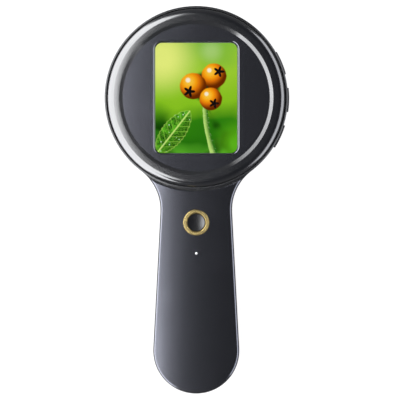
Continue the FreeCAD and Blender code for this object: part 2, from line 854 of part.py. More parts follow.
main_board = new_body("main_board")
board_loop = rounded(board_half, -board_reach, board_reach, board_corner)
board_holes = discs(board_places[:2], board_hole)
pad(main_board, "main_plate", [board_loop] + board_holes, board_under, board_high)

chip_low = board_under - chip_tall
main_chips = new_body("main_chips")
chip_start = camera_side + 1.3
chip_boxes = [
    box(-4.5, 4.5, chip_start, chip_start + 9.0),
    box(-chip_start - 8.7, -chip_start - 0.7, -6.0, 0.0),
    box(chip_start + 1.2, chip_start + 7.2, -3.0, 5.0),
    box(-chip_start - 8.2, -chip_start - 2.2, 3.0, 7.0),
]
pad(main_chips, "chips", chip_boxes, chip_low, board_under)

display_socket = new_body("display_socket")
socket_plan = box(-flex_half - 0.5, flex_half + 0.5, flex_end, flex_end + socket_deep)
pad(display_socket, "display_socket_block", [socket_plan], chip_low, board_under)

camera_board = new_body("camera_board")
camera_plan = box(-camera_side, camera_side, -camera_side, camera_side)
pad(camera_board, "camera_plate", [camera_plan], camera_low, camera_low + camera_thick)
board_link = new_body("board_link")
pad(board_link, "board_link_block", [box(-4, 4, -2, 2)], camera_low + camera_thick, board_under)
image_sensor = new_body("image_sensor")
sensor_plan = box(-sensor_side, sensor_side, -sensor_side, sensor_side)
pad(image_sensor, "sensor_block", [sensor_plan], camera_low - sensor_thick, camera_low)
sensor_shroud = new_body("sensor_shroud")
shroud_side = sensor_side + 0.4
shroud_hole = box(-shroud_side, shroud_side, -shroud_side, shroud_side)
shroud_loops = [Disc(0, 0, tube_neck), shroud_hole]
pad(sensor_shroud, "shroud_block", shroud_loops, tube_top, camera_low)
lead_slot_half = lead_half + 0.2
shroud_notch = box(tube_bore - 0.1, tube_neck + 1, -lead_slot_half, lead_slot_half)
pocket(sensor_shroud, "shroud_notch", [shroud_notch], tube_top - 1, camera_low + 1)

# Optics: barrel, focus ring with its cam groove, sliding lens cell

lens_barrel = new_body("lens_barrel")
barrel_profile = polygon(
    (lip_bore, 0.0),
    (nose_radius, 0.0),
    (nose_radius, nose_height),
    (tube_radius, nose_height),
    (tube_radius, back_height),
    (tube_neck, back_height),
    (tube_neck, tube_top),
    (tube_bore, tube_top),
    (tube_bore, window_low),
    (lip_bore, window_low),
)
turned(lens_barrel, "barrel_turned", [barrel_profile])
slot_across = pin_radius + pin_gap
slot_reach = focus_travel + slot_across + pin_gap
pin_slot = rounded(slot_across, pin_height - slot_reach, pin_height + slot_reach, slot_across - 0.01)
pocket(lens_barrel, "pin_slots", [pin_slot], size(0), tube_radius * 2 + 4, "XZ", True)
lead_slot = box(tube_bore - 1, tube_bore + 0.5, -lead_slot_half, lead_slot_half)
pocket(lens_barrel, "lead_slot", [lead_slot], led_board_low, tube_top + 1)

barrel_nut = new_body("barrel_nut")
nut_outer = tube_neck + nut_wide
nut_loops = [Disc(0, 0, nut_outer), Disc(0, 0, tube_neck)]
pad(barrel_nut, "nut_block", nut_loops, back_height + wall, tube_top)
nut_key = box(nut_outer - 1, nut_outer + 1, -1.2, 1.2)
nut_slot = pocket(barrel_nut, "nut_slot", [nut_key], back_height + wall - 1, tube_top + 1)
around(barrel_nut, "nut_slots", [nut_slot], 4, True)

focus_ring = new_body("focus_ring")
ring_bore = tube_radius + fit_gap
ring_low = nose_height + ring_gap
ring_high = back_height - ring_gap
ring_profile = polygon(
    (ring_bore, ring_low),
    (ring_radius - ring_bevel, ring_low),
    (ring_radius, ring_low + ring_bevel),
    (ring_radius, ring_high - ring_bevel),
    (ring_radius - ring_bevel, ring_high),
    (ring_bore, ring_high),
)
turned(focus_ring, "ring_turned", [ring_profile])
flute = pocket(focus_ring, "flute", [Disc(ring_radius + 1.1, 0, 1.6)], ring_low - 1, ring_high + 1)
around(focus_ring, "flutes", [flute], 30, True)
cam_middle = pin_height - cam_pitch * cam_turn / 360
cam_half = pin_radius + pin_gap
cam_loop = box(ring_bore - 0.3, ring_bore + cam_depth, cam_middle - cam_half, cam_middle + cam_half)
cam_sketch = new_sketch(focus_ring, "cam_profile", "XZ", [cam_loop])
before_cam = volume(focus_ring)
cam = focus_ring.newObject("PartDesign::SubtractiveHelix", "cam_groove")
cam.Profile = cam_sketch
cam.ReferenceAxis = (cam_sketch, ["V_Axis"])
cam.Mode = "pitch-height-angle"
cam.setExpression("Pitch", cam_pitch.text)
cam.setExpression("Height", (cam_pitch * cam_turn / 180).text)
cam.Angle = 0
checked(focus_ring, before_cam, True)
around(focus_ring, "cam_grooves", [cam], 2, True)
focus_ring.setExpression("Placement.Rotation.Angle", (size(90) - cam_turn).text)

lens_cell = new_body("lens_cell")
cell_outer = tube_bore - fit_gap
seat_height = cell_low + 0.9
cell_profile = polygon(
    (optic_clear, cell_low),
    (cell_outer, cell_low),
    (cell_outer, cell_high),
    (optic_radius, cell_high),
    (optic_radius, seat_height),
    (optic_clear, seat_height),
)
turned(lens_cell, "cell_turned", [cell_profile])
pin_inner = optic_radius + 2.0
pin_hole = [Disc(0, pin_height, pin_radius)]


def across(body, name, loops, inner, outer, cuts):
    """Two like pads or pockets along Y, one to each side of the axis."""
    sideways(body, name + "_rear", "XZ", loops, inner, outer, cuts, cuts)
    sideways(body, name + "_front", "XZ", loops, -outer, -inner, cuts, cuts)


across(lens_cell, "pin_hole", pin_hole, pin_inner, tube_bore + 1, True)
follower_pins = new_body("follower_pins")
pin_outer = ring_bore + cam_depth - 0.2
across(follower_pins, "pin", pin_hole, pin_inner, pin_outer, False)

objective_lens = new_body("objective_lens")
edge_high = seat_height + optic_edge
lens_curve = (optic_clear * optic_clear + optic_rise * optic_rise) / (optic_rise * 2)
lens_profile = [
    Edge((size(0), seat_height - optic_rise), lens_curve, 1),
    Edge((optic_clear, seat_height)),
    Edge((optic_radius, seat_height)),
    Edge((optic_radius, edge_high)),
    Edge((optic_clear, edge_high), lens_curve, 1),
    Edge((size(0), edge_high + optic_rise)),
]
turned(objective_lens, "lens_turned", [lens_profile])
lens_clamp = new_body("lens_clamp")
clamp_loops = [Disc(0, 0, optic_radius), Disc(0, 0, optic_clear)]
pad(lens_clamp, "clamp_block", clamp_loops, edge_high, cell_high - 0.3)

front_window = new_body("front_window")
pad(front_window, "window_block", [Disc(0, 0, tube_bore)], window_low, window_high)
led_spacer = new_body("led_spacer")
spacer_loops = [Disc(0, 0, tube_bore), Disc(0, 0, lip_bore)]
pad(led_spacer, "spacer_block", spacer_loops, window_high, led_board_low)
led_board = new_body("led_board")
led_loops = [Disc(0, 0, tube_bore), Disc(0, 0, size(5.2))]
pad(led_board, "led_plate", led_loops, led_board_low, led_board_high)
led_emitters = new_body("led_emitters")
led_box = box(led_circle - 1.0, led_circle + 1.0, -1.4, 1.4)
led_one = pad(led_emitters, "led", [led_box], led_board_low - led_tall, led_board_low)
around(led_emitters, "leds", [led_one], 8, False)
led_lead = new_body("led_lead")
lead_plan = box(tube_bore, tube_bore + 0.25, -lead_half, lead_half)
pad(led_lead, "lead_strip", [lead_plan], led_board_low, board_under)

# Shutter button, its gold ring, its switch and the status light

gold_low = gold_top - gold_bevel
gold_profile = polygon(
    (gold_inner, deck_top),
    (gold_outer, deck_top),
    (gold_outer, gold_low),
    (gold_outer - gold_bevel, gold_top),
    (gold_inner + gold_bevel, gold_top),
    (gold_inner, gold_low),
)
dish_edge = button_radius - 0.2
dish_curve = (dish_edge * dish_edge + button_dish * button_dish) / (button_dish * 2)
button_profile = [
    Edge((size(0), flange_low)),
    Edge((flange_radius, flange_low)),
    Edge((flange_radius, deck_under)),
    Edge((button_radius, deck_under)),
    Edge((button_radius, button_top - 0.25)),
    Edge((dish_edge, button_top), dish_curve, -1),
    Edge((size(0), button_top - button_dish)),
]


def moved_body(name, y):
    """A body whose own axis stands on the centre line of the handle."""
    body = new_body(name)
    body.setExpression("Placement.Base.y", y.text)
    return body


button_ring = moved_body("button_ring", -button_y)
turned(button_ring, "gold_turned", [gold_profile])
shutter_button = moved_body("shutter_button", -button_y)
turned(shutter_button, "button_turned", [button_profile])
plunger_low = board_high + 0.9
shutter_plunger = moved_body("shutter_plunger", -button_y)
pad(shutter_plunger, "plunger_block", [Disc(0, 0, plunger_radius)], plunger_low, flange_low)
shutter_switch = moved_body("shutter_switch", -button_y)
switch_plan = box(-switch_side, switch_side, -switch_side, switch_side)
pad(shutter_switch, "switch_block", [switch_plan], board_high, switch_top)
switch_bore = [Disc(0, 0, plunger_radius + hole_gap)]
pocket(shutter_switch, "switch_bore", switch_bore, board_high + 0.4, switch_top)

light_pipe = moved_body("light_pipe", -light_y)
pipe_low = board_high + 0.9
pad(light_pipe, "pipe_rod", [Disc(0, 0, light_radius)], pipe_low, panel_top)
pad(light_pipe, "pipe_flange", [Disc(0, 0, light_radius + 0.7)], deck_under - 0.8, deck_under)
status_led = moved_body("status_led", -light_y)
pad(status_led, "status_block", [box(-0.8, 0.8, -0.4, 0.4)], board_high, pipe_low)

# Side buttons with their switches on a curved strip

cap_root = wall_inside - 0.55
flange_half = side_half + 1.05
flange_x = root(wall_inside * wall_inside - flange_half * flange_half)
cap_x = root(side_outer * side_outer - side_half * side_half)
cap_plan = [
    Edge((cap_root, -side_half)),
    Edge((cap_x, -side_half), side_outer, 1),
    Edge((cap_x, side_half)),
    Edge((cap_root, side_half)),
]
flange_plan = [
    Edge((side_flange, -flange_half)),
    Edge((flange_x, -flange_half), wall_inside, 1),
    Edge((flange_x, flange_half)),
    Edge((side_flange, flange_half)),
]


def cap_rim(edge):
    """The outer edges of a side button's cap."""
    low = edge.BoundBox
    level = low.ZMax - low.ZMin < 1e-4
    return low.XMin > cap_x.value - 0.05 and low.XMax > cap_x.value - 0.01 and level


plunger_out = side_flange - 1.4
side_middle = side_low + side_tall / 2
for where, angle in side_angles.items():
    side_button = new_body("side_button_" + where)
    pad(side_button, "cap_" + where, [cap_plan], side_low, side_low + side_tall)
    dressed(side_button, "Fillet", "cap_round_" + where, cap_rim, 0.4)
    pad(side_button, "flange_" + where, [flange_plan], side_low - side_over, side_low + side_tall + side_over)
    side_button.setExpression("Placement.Rotation.Angle", angle.text)
    plunger = new_body("side_plunger_" + where)
    pad(plunger, "side_pin_" + where, [Disc(0, side_middle, 0.8)], plunger_out, side_flange, "YZ")
    plunger.setExpression("Placement.Rotation.Angle", angle.text)


def arc_band(inner, outer, first, last):
    """A band between two arcs about the origin."""
    return [
        Edge((inner * cosine(first), inner * sine(first))),
        Edge((outer * cosine(first), outer * sine(first)), outer, 1),
        Edge((outer * cosine(last), outer * sine(last))),
        Edge((inner * cosine(last), inner * sine(last)), inner, -1),
    ]


first_angle = side_centre - carrier_angle
last_angle = side_centre + carrier_angle
side_carrier = new_body("side_carrier")
carrier_plan = arc_band(carrier_inner, carrier_outer, first_angle, last_angle)
pad(side_carrier, "carrier_block", [carrier_plan], side_low - 1, deck_under)
side_flex = new_body("side_flex")
strip_plan = arc_band(carrier_outer, strip_outer, first_angle, last_angle)
pad(side_flex, "strip_block", [strip_plan], side_low - 0.6, side_low + side_tall + 0.4)
side_switches = new_body("side_switches")
switch_half = size(2.0)
switch_x = root(strip_outer * strip_outer - switch_half * switch_half)
switch_plans = []
bore_plans = []
for angle in side_angles.values():
    outline = turned_box(switch_x, switch_face, switch_half, angle)
    outline[3].radius = strip_outer
    outline[3].turn = -1
    switch_plans.append(outline)
    bore_plans.append(turned_box(plunger_out - 0.5, switch_face + 1, size(0.86), angle))
pad(side_switches, "switch_blocks", switch_plans, side_low, side_low + side_tall)
bore_low = side_middle - 0.86
pocket(side_switches, "switch_bores", bore_plans, bore_low, bore_low + 1.72)

# Handle inside: board, ports, link and battery

handle_board = new_body("handle_board")
handle_plan = polygon(
    (-handle_half, -handle_start),
    (-handle_half, -handle_step),
    (-tongue_half, -handle_step),
    (-tongue_half, -tongue_end),
    (tongue_half, -tongue_end),
    (tongue_half, -handle_step),
    (handle_half, -handle_step),
    (handle_half, -handle_start),
)
handle_holes_plan = discs(board_places[2:], board_hole)
pad(handle_board, "handle_plate", [handle_plan] + handle_holes_plan, board_under, board_high)
link_flex = new_body("link_flex")
link_plan = box(flex_half + 0.5, neck_screw_x - boss_radius - 0.4, -handle_start - 0.6, -board_reach + 3.0)
pad(link_flex, "link_strip", [link_plan], board_under - 0.3, board_under)
battery = new_body("battery")
battery_end = battery_long / 2
battery_plan = rounded(battery_half, -battery_y - battery_end, -battery_y + battery_end, size(1.5))
pad(battery, "battery_block", [battery_plan], battery_under, battery_over)


def battery_edges(edge):
    return at_height(battery_under)(edge) or at_height(battery_over)(edge)


dressed(battery, "Fillet", "battery_round", battery_edges, battery_round)
battery_pad = new_body("battery_pad")
pad(battery_pad, "foam_block", [box(-5.5, 5.5, -battery_y - 9, -battery_y + 9)], battery_over, board_under)

usb_port = new_body("usb_port")
usb_shell = rounded(usb_half, board_high, board_high + usb_tall, usb_tall / 2 - 0.01)
usb_inner = usb_tall / 2 - 0.35
usb_cavity = rounded(usb_half - 0.3, usb_middle - usb_inner, usb_middle + usb_inner, usb_inner - 0.01)
usb_tongue = box(-3.4, 3.4, usb_middle - 0.35, usb_middle + 0.35)
tongue_back = usb_back + 0.9
sideways(usb_port, "usb_can", "XZ", [usb_shell], usb_back, usb_mouth, False, False)
sideways(usb_port, "usb_mouth_cut", "XZ", [usb_cavity], usb_back + 1.1, usb_mouth, True, True)
sideways(usb_port, "usb_tongue_block", "XZ", [usb_tongue], tongue_back, usb_mouth - 0.8, False, False)

card_socket = new_body("card_socket")
card_end_x = card_deep - card_mouth_x
card_plan = box(-card_mouth_x, card_end_x, -card_y - card_half, -card_y + card_half)
pad(card_socket, "card_can", [card_plan], board_high, board_high + card_tall)
mouth_half = card_half - 1.3
card_mouth = box(-card_mouth_x - 1, card_end_x - 2.0, -card_y - mouth_half, -card_y + mouth_half)
pocket(card_socket, "card_mouth_cut", [card_mouth], card_low + 0.1, card_low + 1.1)

# Screws: each kind is one node of like solids

housing_screws = new_body("housing_screws")
pad(housing_screws, "screw_shanks", discs(screw_places, screw_radius), screw_seat, screw_tip)
pad(housing_screws, "screw_heads", discs(screw_places, screw_head), screw_seat - 1.4, screw_seat)


def cross_at(x, y, reach, half):
    """The outline of a cross recess."""
    return polygon(
        (x - reach, y - half),
        (x - half, y - half),
        (x - half, y - reach),
        (x + half, y - reach),
        (x + half, y - half),
        (x + reach, y - half),
        (x + reach, y + half),
        (x + half, y + half),
        (x + half, y + reach),
        (x - half, y + reach),
        (x - half, y + half),
        (x - reach, y + half),
    )


crosses = [cross_at(x, y, size(1.1), size(0.25)) for x, y in mirrored(screw_places)]
pocket(housing_screws, "screw_drives", crosses, screw_seat - 2, screw_seat - 0.5)
board_screws = new_body("board_screws")
pad(board_screws, "board_shanks", discs(board_places, board_screw), board_under, screw_end)
pad(board_screws, "board_heads", discs(board_places, board_head), board_under - 0.9, board_under)

# Checks and files

doc.recompute()
for thing in doc.Objects:
    for word in ("Invalid", "Error"):
        if word in thing.State:
            raise RuntimeError(thing.Label + " is " + word)
for name, body in bodies.items():
    if body.Shape.isNull() or not body.Shape.isValid():
        raise RuntimeError(name + " has no valid shape")
os.makedirs("parts", exist_ok=True)
for name, body in bodies.items():
    body.Shape.exportStep("parts/" + name + ".step")
    print(name, len(body.Shape.Solids), round(body.Shape.Volume, 1))
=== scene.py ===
"""A hand-held digital microscope with a round lit head: its looks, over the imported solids.

Lengths in this file are in millimetres until a mesh is handed over, which is in metres.
X is right, Y is to the top of the head and Z is out of the screen.
"""

import json
import logging
import math
from dataclasses import dataclass, field
from enum import Enum
from typing import Callable, Optional, Union

import bmesh
import bpy
from mathutils import Matrix, Vector


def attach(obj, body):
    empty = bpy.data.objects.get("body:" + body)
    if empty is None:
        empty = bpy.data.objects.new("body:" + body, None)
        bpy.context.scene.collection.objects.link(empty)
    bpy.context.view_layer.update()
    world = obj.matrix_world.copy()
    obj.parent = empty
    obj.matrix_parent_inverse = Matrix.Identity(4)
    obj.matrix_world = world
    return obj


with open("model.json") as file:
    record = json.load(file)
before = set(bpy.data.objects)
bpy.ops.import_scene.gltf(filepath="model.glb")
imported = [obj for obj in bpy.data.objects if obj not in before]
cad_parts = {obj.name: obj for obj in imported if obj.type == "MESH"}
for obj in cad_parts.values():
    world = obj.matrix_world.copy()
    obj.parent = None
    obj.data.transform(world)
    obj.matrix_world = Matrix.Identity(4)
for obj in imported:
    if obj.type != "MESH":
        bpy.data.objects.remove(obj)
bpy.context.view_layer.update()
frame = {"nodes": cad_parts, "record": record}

LOG = logging.getLogger("microscope")
Colour = tuple[float, float, float]
Point = tuple[float, float, float]
Pair = tuple[float, float]
MM = 0.001
WELD = 1e-5
SHARP_ANGLE = math.radians(35.0)
BLACK: Colour = (0.0, 0.0, 0.0)
WHITE: Colour = (1.0, 1.0, 1.0)
SEAM_AND_SHADE_BLACK: Colour = (0.001, 0.001, 0.001)
DUST: Colour = (0.1, 0.1, 0.1)
SOFT_WHITE: Colour = (0.97, 0.98, 1.0)
AXIS: Pair = (0.0, 0.0)
SHUTTER_AT: Pair = (0.0, -46.2)
STATUS_AT: Pair = (0.0, -57.6)


# Shader maths


def term(operation: str, swapped: bool = False) -> Callable[["Value", "Number"], "Value"]:
    """Makes a method of Value that takes one other term.

    Args:
        operation: the Math node's operation.
        swapped: whether the value comes second, as in 1 - mask.

    Returns:
        The method.
    """

    def method(self: "Value", other: "Number") -> "Value":
        """Adds the Math node."""
        return self.sum(operation, other, self) if swapped else self.sum(operation, self, other)

    return method


class Value:
    """One output of a node, on which Python sums work where it is a number."""

    def __init__(self, graph: "Graph", socket: bpy.types.NodeSocket) -> None:
        """Keeps the output socket and the graph that it belongs to."""
        self.graph = graph
        self.socket = socket

    def sum(self, operation: str, *terms: "Number") -> "Value":
        """Adds one Math node, whose inputs are the terms in order."""
        return self.graph.node("ShaderNodeMath", {"operation": operation}, dict(enumerate(terms)))

    __add__, __radd__ = term("ADD"), term("ADD", True)
    __sub__, __rsub__ = term("SUBTRACT"), term("SUBTRACT", True)
    __mul__, __rmul__ = term("MULTIPLY"), term("MULTIPLY", True)
    __truediv__, __rtruediv__ = term("DIVIDE"), term("DIVIDE", True)
    __pow__ = term("POWER")
    __mod__ = term("FLOORED_MODULO")
    highest = term("MAXIMUM")

    def __abs__(self) -> "Value":
        """The value without its sign."""
        return self.sum("ABSOLUTE", self)

    def root(self) -> "Value":
        """The square root."""
        return self.sum("SQRT", self)

    def rise(self, low: float, high: float) -> "Value":
        """A smooth mask: 0 at low and 1 at high; low may be the larger, for a fall."""
        sockets = {"Value": self, "From Min": low, "From Max": high}
        return self.graph.node("ShaderNodeMapRange", {"interpolation_type": "SMOOTHSTEP"}, sockets)

    def near(self, middle: float, reach: float) -> "Value":
        """A mask that is 1 at a middle value and falls to 0 within a reach of it."""
        return abs(self - middle).rise(reach, 0.0)

    def off_row(self, pitch: float) -> "Value":
        """The distance from the nearest of a row of lines that stand a pitch apart."""
        return abs(self % pitch - pitch / 2.0)

    def length(self, along: "Value") -> "Value":
        """The length of the line that goes this value across and another along."""
        return (self * self + along * along).root()

    def turn(self, across: "Value") -> "Value":
        """The angle of the point whose height is this value and whose width is across."""
        return self.sum("ARCTAN2", self, across)


Number = Union[float, Value]
Given = Union[float, Colour, tuple, Value]


class Graph:
    """A tree of shader nodes, of a material or of the room."""

    def __init__(self, tree: bpy.types.NodeTree) -> None:
        """Clears the tree and keeps it."""
        self.tree = tree
        self.tree.nodes.clear()

    def add(self, kind: str, settings: dict, sockets: dict) -> bpy.types.Node:
        """Adds a node: first its settings, then the values or links of its sockets.

        Args:
            kind: the node's type.
            settings: its properties, and for a ramp its stops.
            sockets: its inputs by name or number.

        Returns:
            The node.
        """
        made = self.tree.nodes.new(kind)
        for name, setting in settings.items():
            if name == "stops":
                stops = made.color_ramp.elements
                while len(stops) < len(setting):
                    stops.new(1.0)
                for stop, (place, colour) in zip(stops, setting):
                    stop.position = place
                    stop.color = (*colour, 1.0)
            else:
                setattr(made, name, setting)
        self.fill(made, sockets)
        return made

    def node(self, kind: str, settings: dict, sockets: dict, output: Union[int, str] = 0) -> Value:
        """Adds a node, as add does, and gives back one of its outputs."""
        return Value(self, self.add(kind, settings, sockets).outputs[output])

    def fill(self, made: bpy.types.Node, sockets: dict) -> None:
        """Sets or links a node's inputs.

        Args:
            made: the node.
            sockets: its inputs by name or number.
        """
        for place, given in sockets.items():
            if isinstance(given, Value):
                self.tree.links.new(given.socket, made.inputs[place])
            elif isinstance(given, tuple) and len(given) == 3 and made.inputs[place].type == "RGBA":
                made.inputs[place].default_value = (*given, 1.0)
            else:
                made.inputs[place].default_value = given

    def parts(self, vector: Value) -> tuple[Value, Value, Value]:
        """The three numbers of a vector."""
        made = self.add("ShaderNodeSeparateXYZ", {}, {0: vector})
        return tuple(Value(self, output) for output in made.outputs)

    def scaled(self, vector: Value, by: Point) -> Value:
        """A vector with each number multiplied by its own factor."""
        return self.node("ShaderNodeVectorMath", {"operation": "MULTIPLY"}, {0: vector, 1: by})

    def over(self, colour: Given, *layers: tuple[Number, Given]) -> Given:
        """Lays colours over a first one, in order.

        Args:
            colour: the first colour.
            layers: the share of each layer, from 0 to 1, and its colour.

        Returns:
            What shows in the end.
        """
        for share, layer in layers:
            colour = self.mix(share, colour, layer)
        return colour

    def mix(self, share: Number, first: Given, second: Given) -> Value:
        """Goes from the first colour at a share of 0 to the second at 1."""
        return self.node("ShaderNodeMix", {"data_type": "RGBA"}, {0: share, 6: first, 7: second}, 2)


class Surface(Graph):
    """The nodes of one material, with its Principled shader and the place on the piece in millimetres."""

    def __init__(self, name: str) -> None:
        """Starts an empty material.

        Args:
            name: the material's name.
        """
        self.material = bpy.data.materials.new(name)
        self.material.use_nodes = True
        super().__init__(self.material.node_tree)
        self.shader = self.add("ShaderNodeBsdfPrincipled", {}, {})
        self.out = self.add("ShaderNodeOutputMaterial", {}, {"Surface": Value(self, self.shader.outputs[0])})
        self.mm = self.scaled(self.node("ShaderNodeTexCoord", {}, {}, "Object"), (1000.0, 1000.0, 1000.0))
        self.x, self.y, self.z = self.parts(self.mm)

    def set(self, **sockets: Given) -> None:
        """Sets or links the shader's own sockets; an underscore stands for a space."""
        named = {name.replace("_", " "): given for name, given in sockets.items()}
        self.fill(self.shader, named)

    def blend(self, share: Value, second: Value) -> None:
        """Mixes a second shader over the first, by a share from 0 to 1."""
        first = Value(self, self.shader.outputs[0])
        self.fill(self.out, {"Surface": self.node("ShaderNodeMixShader", {}, {0: share, 1: first, 2: second})})

    def slant(self, start: float, end: float) -> Value:
        """A mask of a surface seen at a slant: 0 up to a start and 1 from an end, both in degrees."""
        low, high = (1.0 - math.cos(math.radians(angle)) for angle in (start, end))
        return self.node("ShaderNodeLayerWeight", {}, {"Blend": 0.5}, "Facing").rise(low, high)

    def dulled(self, share: Value, colour: Value) -> None:
        """Mixes a dull surface of a colour over the gloss, by a share from 0 to 1."""
        sockets = {"Base Color": colour, "Roughness": 0.55, "Specular IOR Level": 0.04}
        self.blend(share, self.node("ShaderNodeBsdfPrincipled", {}, sockets))

    def place(self, squeeze: Optional[Point]) -> Value:
        """The place on the piece, on which a squeeze makes a pattern finer or longer along each axis."""
        return self.scaled(self.mm, squeeze) if squeeze else self.mm

    def noise(self, grain: float, detail: float = 2.0, squeeze: Optional[Point] = None) -> Value:
        """Smooth noise from 0 to 1, in lumps of a grain in millimetres, with finer layers of detail."""
        sockets = {"Vector": self.place(squeeze), "Scale": 1.0 / grain, "Detail": detail}
        return self.node("ShaderNodeTexNoise", {}, sockets)

    def cells(self, size: float, feature: str = "F1", squeeze: Optional[Point] = None) -> Value:
        """The distance in cells to the nearest of scattered points, or by another feature to the cell's wall."""
        sockets = {"Vector": self.place(squeeze), "Scale": 1.0 / size}
        return self.node("ShaderNodeTexVoronoi", {"feature": feature}, sockets, "Distance")

    def flakes(self, size: float) -> Value:
        """A random number from 0 to 1 for each small cell."""
        sockets = {"Vector": self.mm, "Scale": 1.0 / size}
        return self.parts(self.node("ShaderNodeTexVoronoi", {}, sockets, "Color"))[0]

    def rings(self, place: Value, scale: float) -> Value:
        """Noise that changes along one value only, such as a radius."""
        sockets = {"W": place, "Scale": scale, "Detail": 2.0}
        return self.node("ShaderNodeTexNoise", {"noise_dimensions": "1D"}, sockets)

    def bump(self, height: Value, depth: float, under: Optional[Value] = None) -> Value:
        """The normal of small relief, a depth in millimetres for a height of 1, that may lie on coarser relief."""
        sockets = {"Height": height, "Distance": depth * MM} | ({"Normal": under} if under else {})
        return self.node("ShaderNodeBump", {}, sockets)

    def skin(self, colour: Given, rough: Number, relief: Value, depth: float, **others: Given) -> None:
        """Gives the surface a colour, a roughness, a relief of a depth in millimetres, and other sockets."""
        self.set(Base_Color=colour, Roughness=rough, Normal=self.bump(relief, depth), **others)

    def from_point(self, x: float, y: float) -> Value:
        """The level distance from an upright line, in millimetres."""
        return (self.x - x).length(self.y - y)

    def facing(self) -> Value:
        """How level a surface is: 1 where it faces up or down, 0 on a side wall."""
        return abs(self.parts(self.node("ShaderNodeNewGeometry", {}, {}, "Normal"))[2])


def shade(colour: Colour, factor: float) -> Colour:
    """A colour made lighter or darker by a factor."""
    return tuple(min(1.0, part * factor) for part in colour)


# Finishes


class Grain(Enum):
    """The direction of the fine lines that a tool leaves on metal."""

    ALONG_X = (0.02, 1.0, 1.0)
    ALONG_Y = (1.0, 0.02, 1.0)
    UPRIGHT = (1.0, 1.0, 0.02)
    TURNED = (0.0, 0.0, 0.0)


@dataclass(frozen=True)
class Finish:
    """What every finish has: the slot of the record, a colour and a roughness."""

    slot: str
    colour: Colour
    roughness: float

    def material(self) -> bpy.types.Material:
        """Makes the material.

        Returns:
            A material that is named for its slot.
        """
        graph = Surface(self.slot)
        self.paint(graph)
        return graph.material

    def paint(self, graph: Surface) -> None:
        """Builds the nodes of a material; each kind of finish has its own."""
        raise NotImplementedError

    def clouded(self, graph: Surface, size: float, amount: float) -> Value:
        """The finish's colour in soft places of a size in millimetres, darker and lighter by an amount."""
        first, second = shade(self.colour, 1.0 - amount), shade(self.colour, 1.0 + amount)
        return graph.mix(graph.noise(size, 3.0).rise(0.3, 0.7), first, second)


@dataclass(frozen=True)
class MouldedPlastic(Finish):
    """Moulded plastic with a spark-eroded texture, rubbed smoother and paler at its edges."""

    grain: float = 0.16
    depth: float = 0.006
    worn_heights: tuple[float, ...] = ()
    seam: Optional[float] = None
    groove: Optional[Pair] = None
    gleam: float = 0.5

    def paint(self, graph: Surface) -> None:
        """Texture, clouding, scuffs, rubbed edges, the joint line of the shells, and painted shade in the groove.

        Args:
            graph: the nodes of the material.
        """
        texture = graph.noise(self.grain, 1.0) + graph.noise(self.grain * 3.0, 1.0) * 0.6
        colour = self.clouded(graph, 14.0, 0.1)
        long_marks = graph.noise(2.4, 3.0, (0.1, 1.4, 1.0))
        scuffs = long_marks.rise(0.66, 0.74) * graph.noise(21.0, 2.0).rise(0.5, 0.7)
        worn: Number = scuffs * 0.3
        for height in self.worn_heights:
            edge = graph.z.near(height, 0.32) * graph.noise(1.1, 3.0).rise(0.42, 0.72)
            worn = edge.highest(worn)
        colour = graph.mix(worn * 0.3, colour, shade(self.colour, 2.4))
        rough = self.roughness + graph.noise(5.0, 2.0) * 0.08 - worn * 0.12
        if self.seam is not None:
            line = graph.z.near(self.seam, 0.09)
            colour = graph.mix(line * 0.85, colour, SEAM_AND_SHADE_BLACK)
            rough = rough + line * 0.4
        # Painted shade: the groove round the head is darkened to near black and made rougher below its rim.
        if self.groove is not None:
            radius, level = self.groove
            groove_matt_and_shade = graph.from_point(*AXIS).near(radius, 0.3) * graph.z.rise(level, level - 0.1)
            rough = rough + groove_matt_and_shade * 0.6
            colour = graph.mix(groove_matt_and_shade, colour, SEAM_AND_SHADE_BLACK)
        graph.skin(colour, rough, texture, self.depth, Specular_IOR_Level=self.gleam)


@dataclass(frozen=True)
class SatinCoat(Finish):
    """A smooth satin lacquer with a very fine flake and a trace of orange peel."""

    flake: float = 0.09
    peel: float = 0.0008
    gleam: float = 1.0
    rubbed: float = 0.0
    tint: Colour = (0.84, 0.86, 1.0)

    def paint(self, graph: Surface) -> None:
        """Flake, soft clouding, fine hairlines and orange peel.

        Args:
            graph: the nodes of the material.
        """
        glitter = graph.flakes(self.flake)
        colour = graph.mix(glitter, shade(self.colour, 0.82), shade(self.colour, 1.22))
        soft = graph.noise(9.0, 2.0).rise(0.3, 0.7)
        colour = graph.mix(soft * 0.18, colour, shade(self.colour, 0.6))
        hairs = graph.noise(0.5, 2.0, (1.0, 0.04, 1.0)).rise(0.62, 0.7)
        touched = graph.noise(17.0, 3.0).rise(0.52, 0.68)
        rough = self.roughness + glitter * 0.008 + touched * self.rubbed - hairs * 0.006
        graph.skin(colour, rough, graph.noise(1.3, 1.0), self.peel, Specular_IOR_Level=self.gleam,
                   Specular_Tint=self.tint)
        graph.dulled(graph.slant(34.5, 47.0) * 0.93, colour)


@dataclass(frozen=True)
class GlossPlastic(Finish):
    """Polished dark plastic under a clear coat, with hair-fine polishing marks."""

    gleam: float = 0.5
    coat: float = 0.6
    coat_roughness: float = 0.08
    centre: Pair = AXIS

    def paint(self, graph: Surface) -> None:
        """Round polishing marks, dust and fingerprints in the roughness.

        Args:
            graph: the nodes of the material.
        """
        radius = graph.from_point(*self.centre)
        ring_marks = graph.rings(radius, 14.0)
        prints = graph.noise(6.0, 4.0).rise(0.5, 0.75)
        dust = graph.cells(0.9).rise(0.07, 0.03) * graph.noise(7.0, 1.0).rise(0.5, 0.65)
        colour = graph.mix(dust * 0.15, self.clouded(graph, 8.0, 0.12), DUST)
        rough = self.roughness + ring_marks * 0.03 + prints * 0.03 + dust * 0.1
        graph.skin(colour, rough, graph.noise(2.2, 1.0), 0.0008, Specular_IOR_Level=self.gleam,
                   Coat_Weight=self.coat, Coat_Roughness=self.coat_roughness)
        graph.dulled(graph.slant(51.0, 62.0) * 0.85, colour)


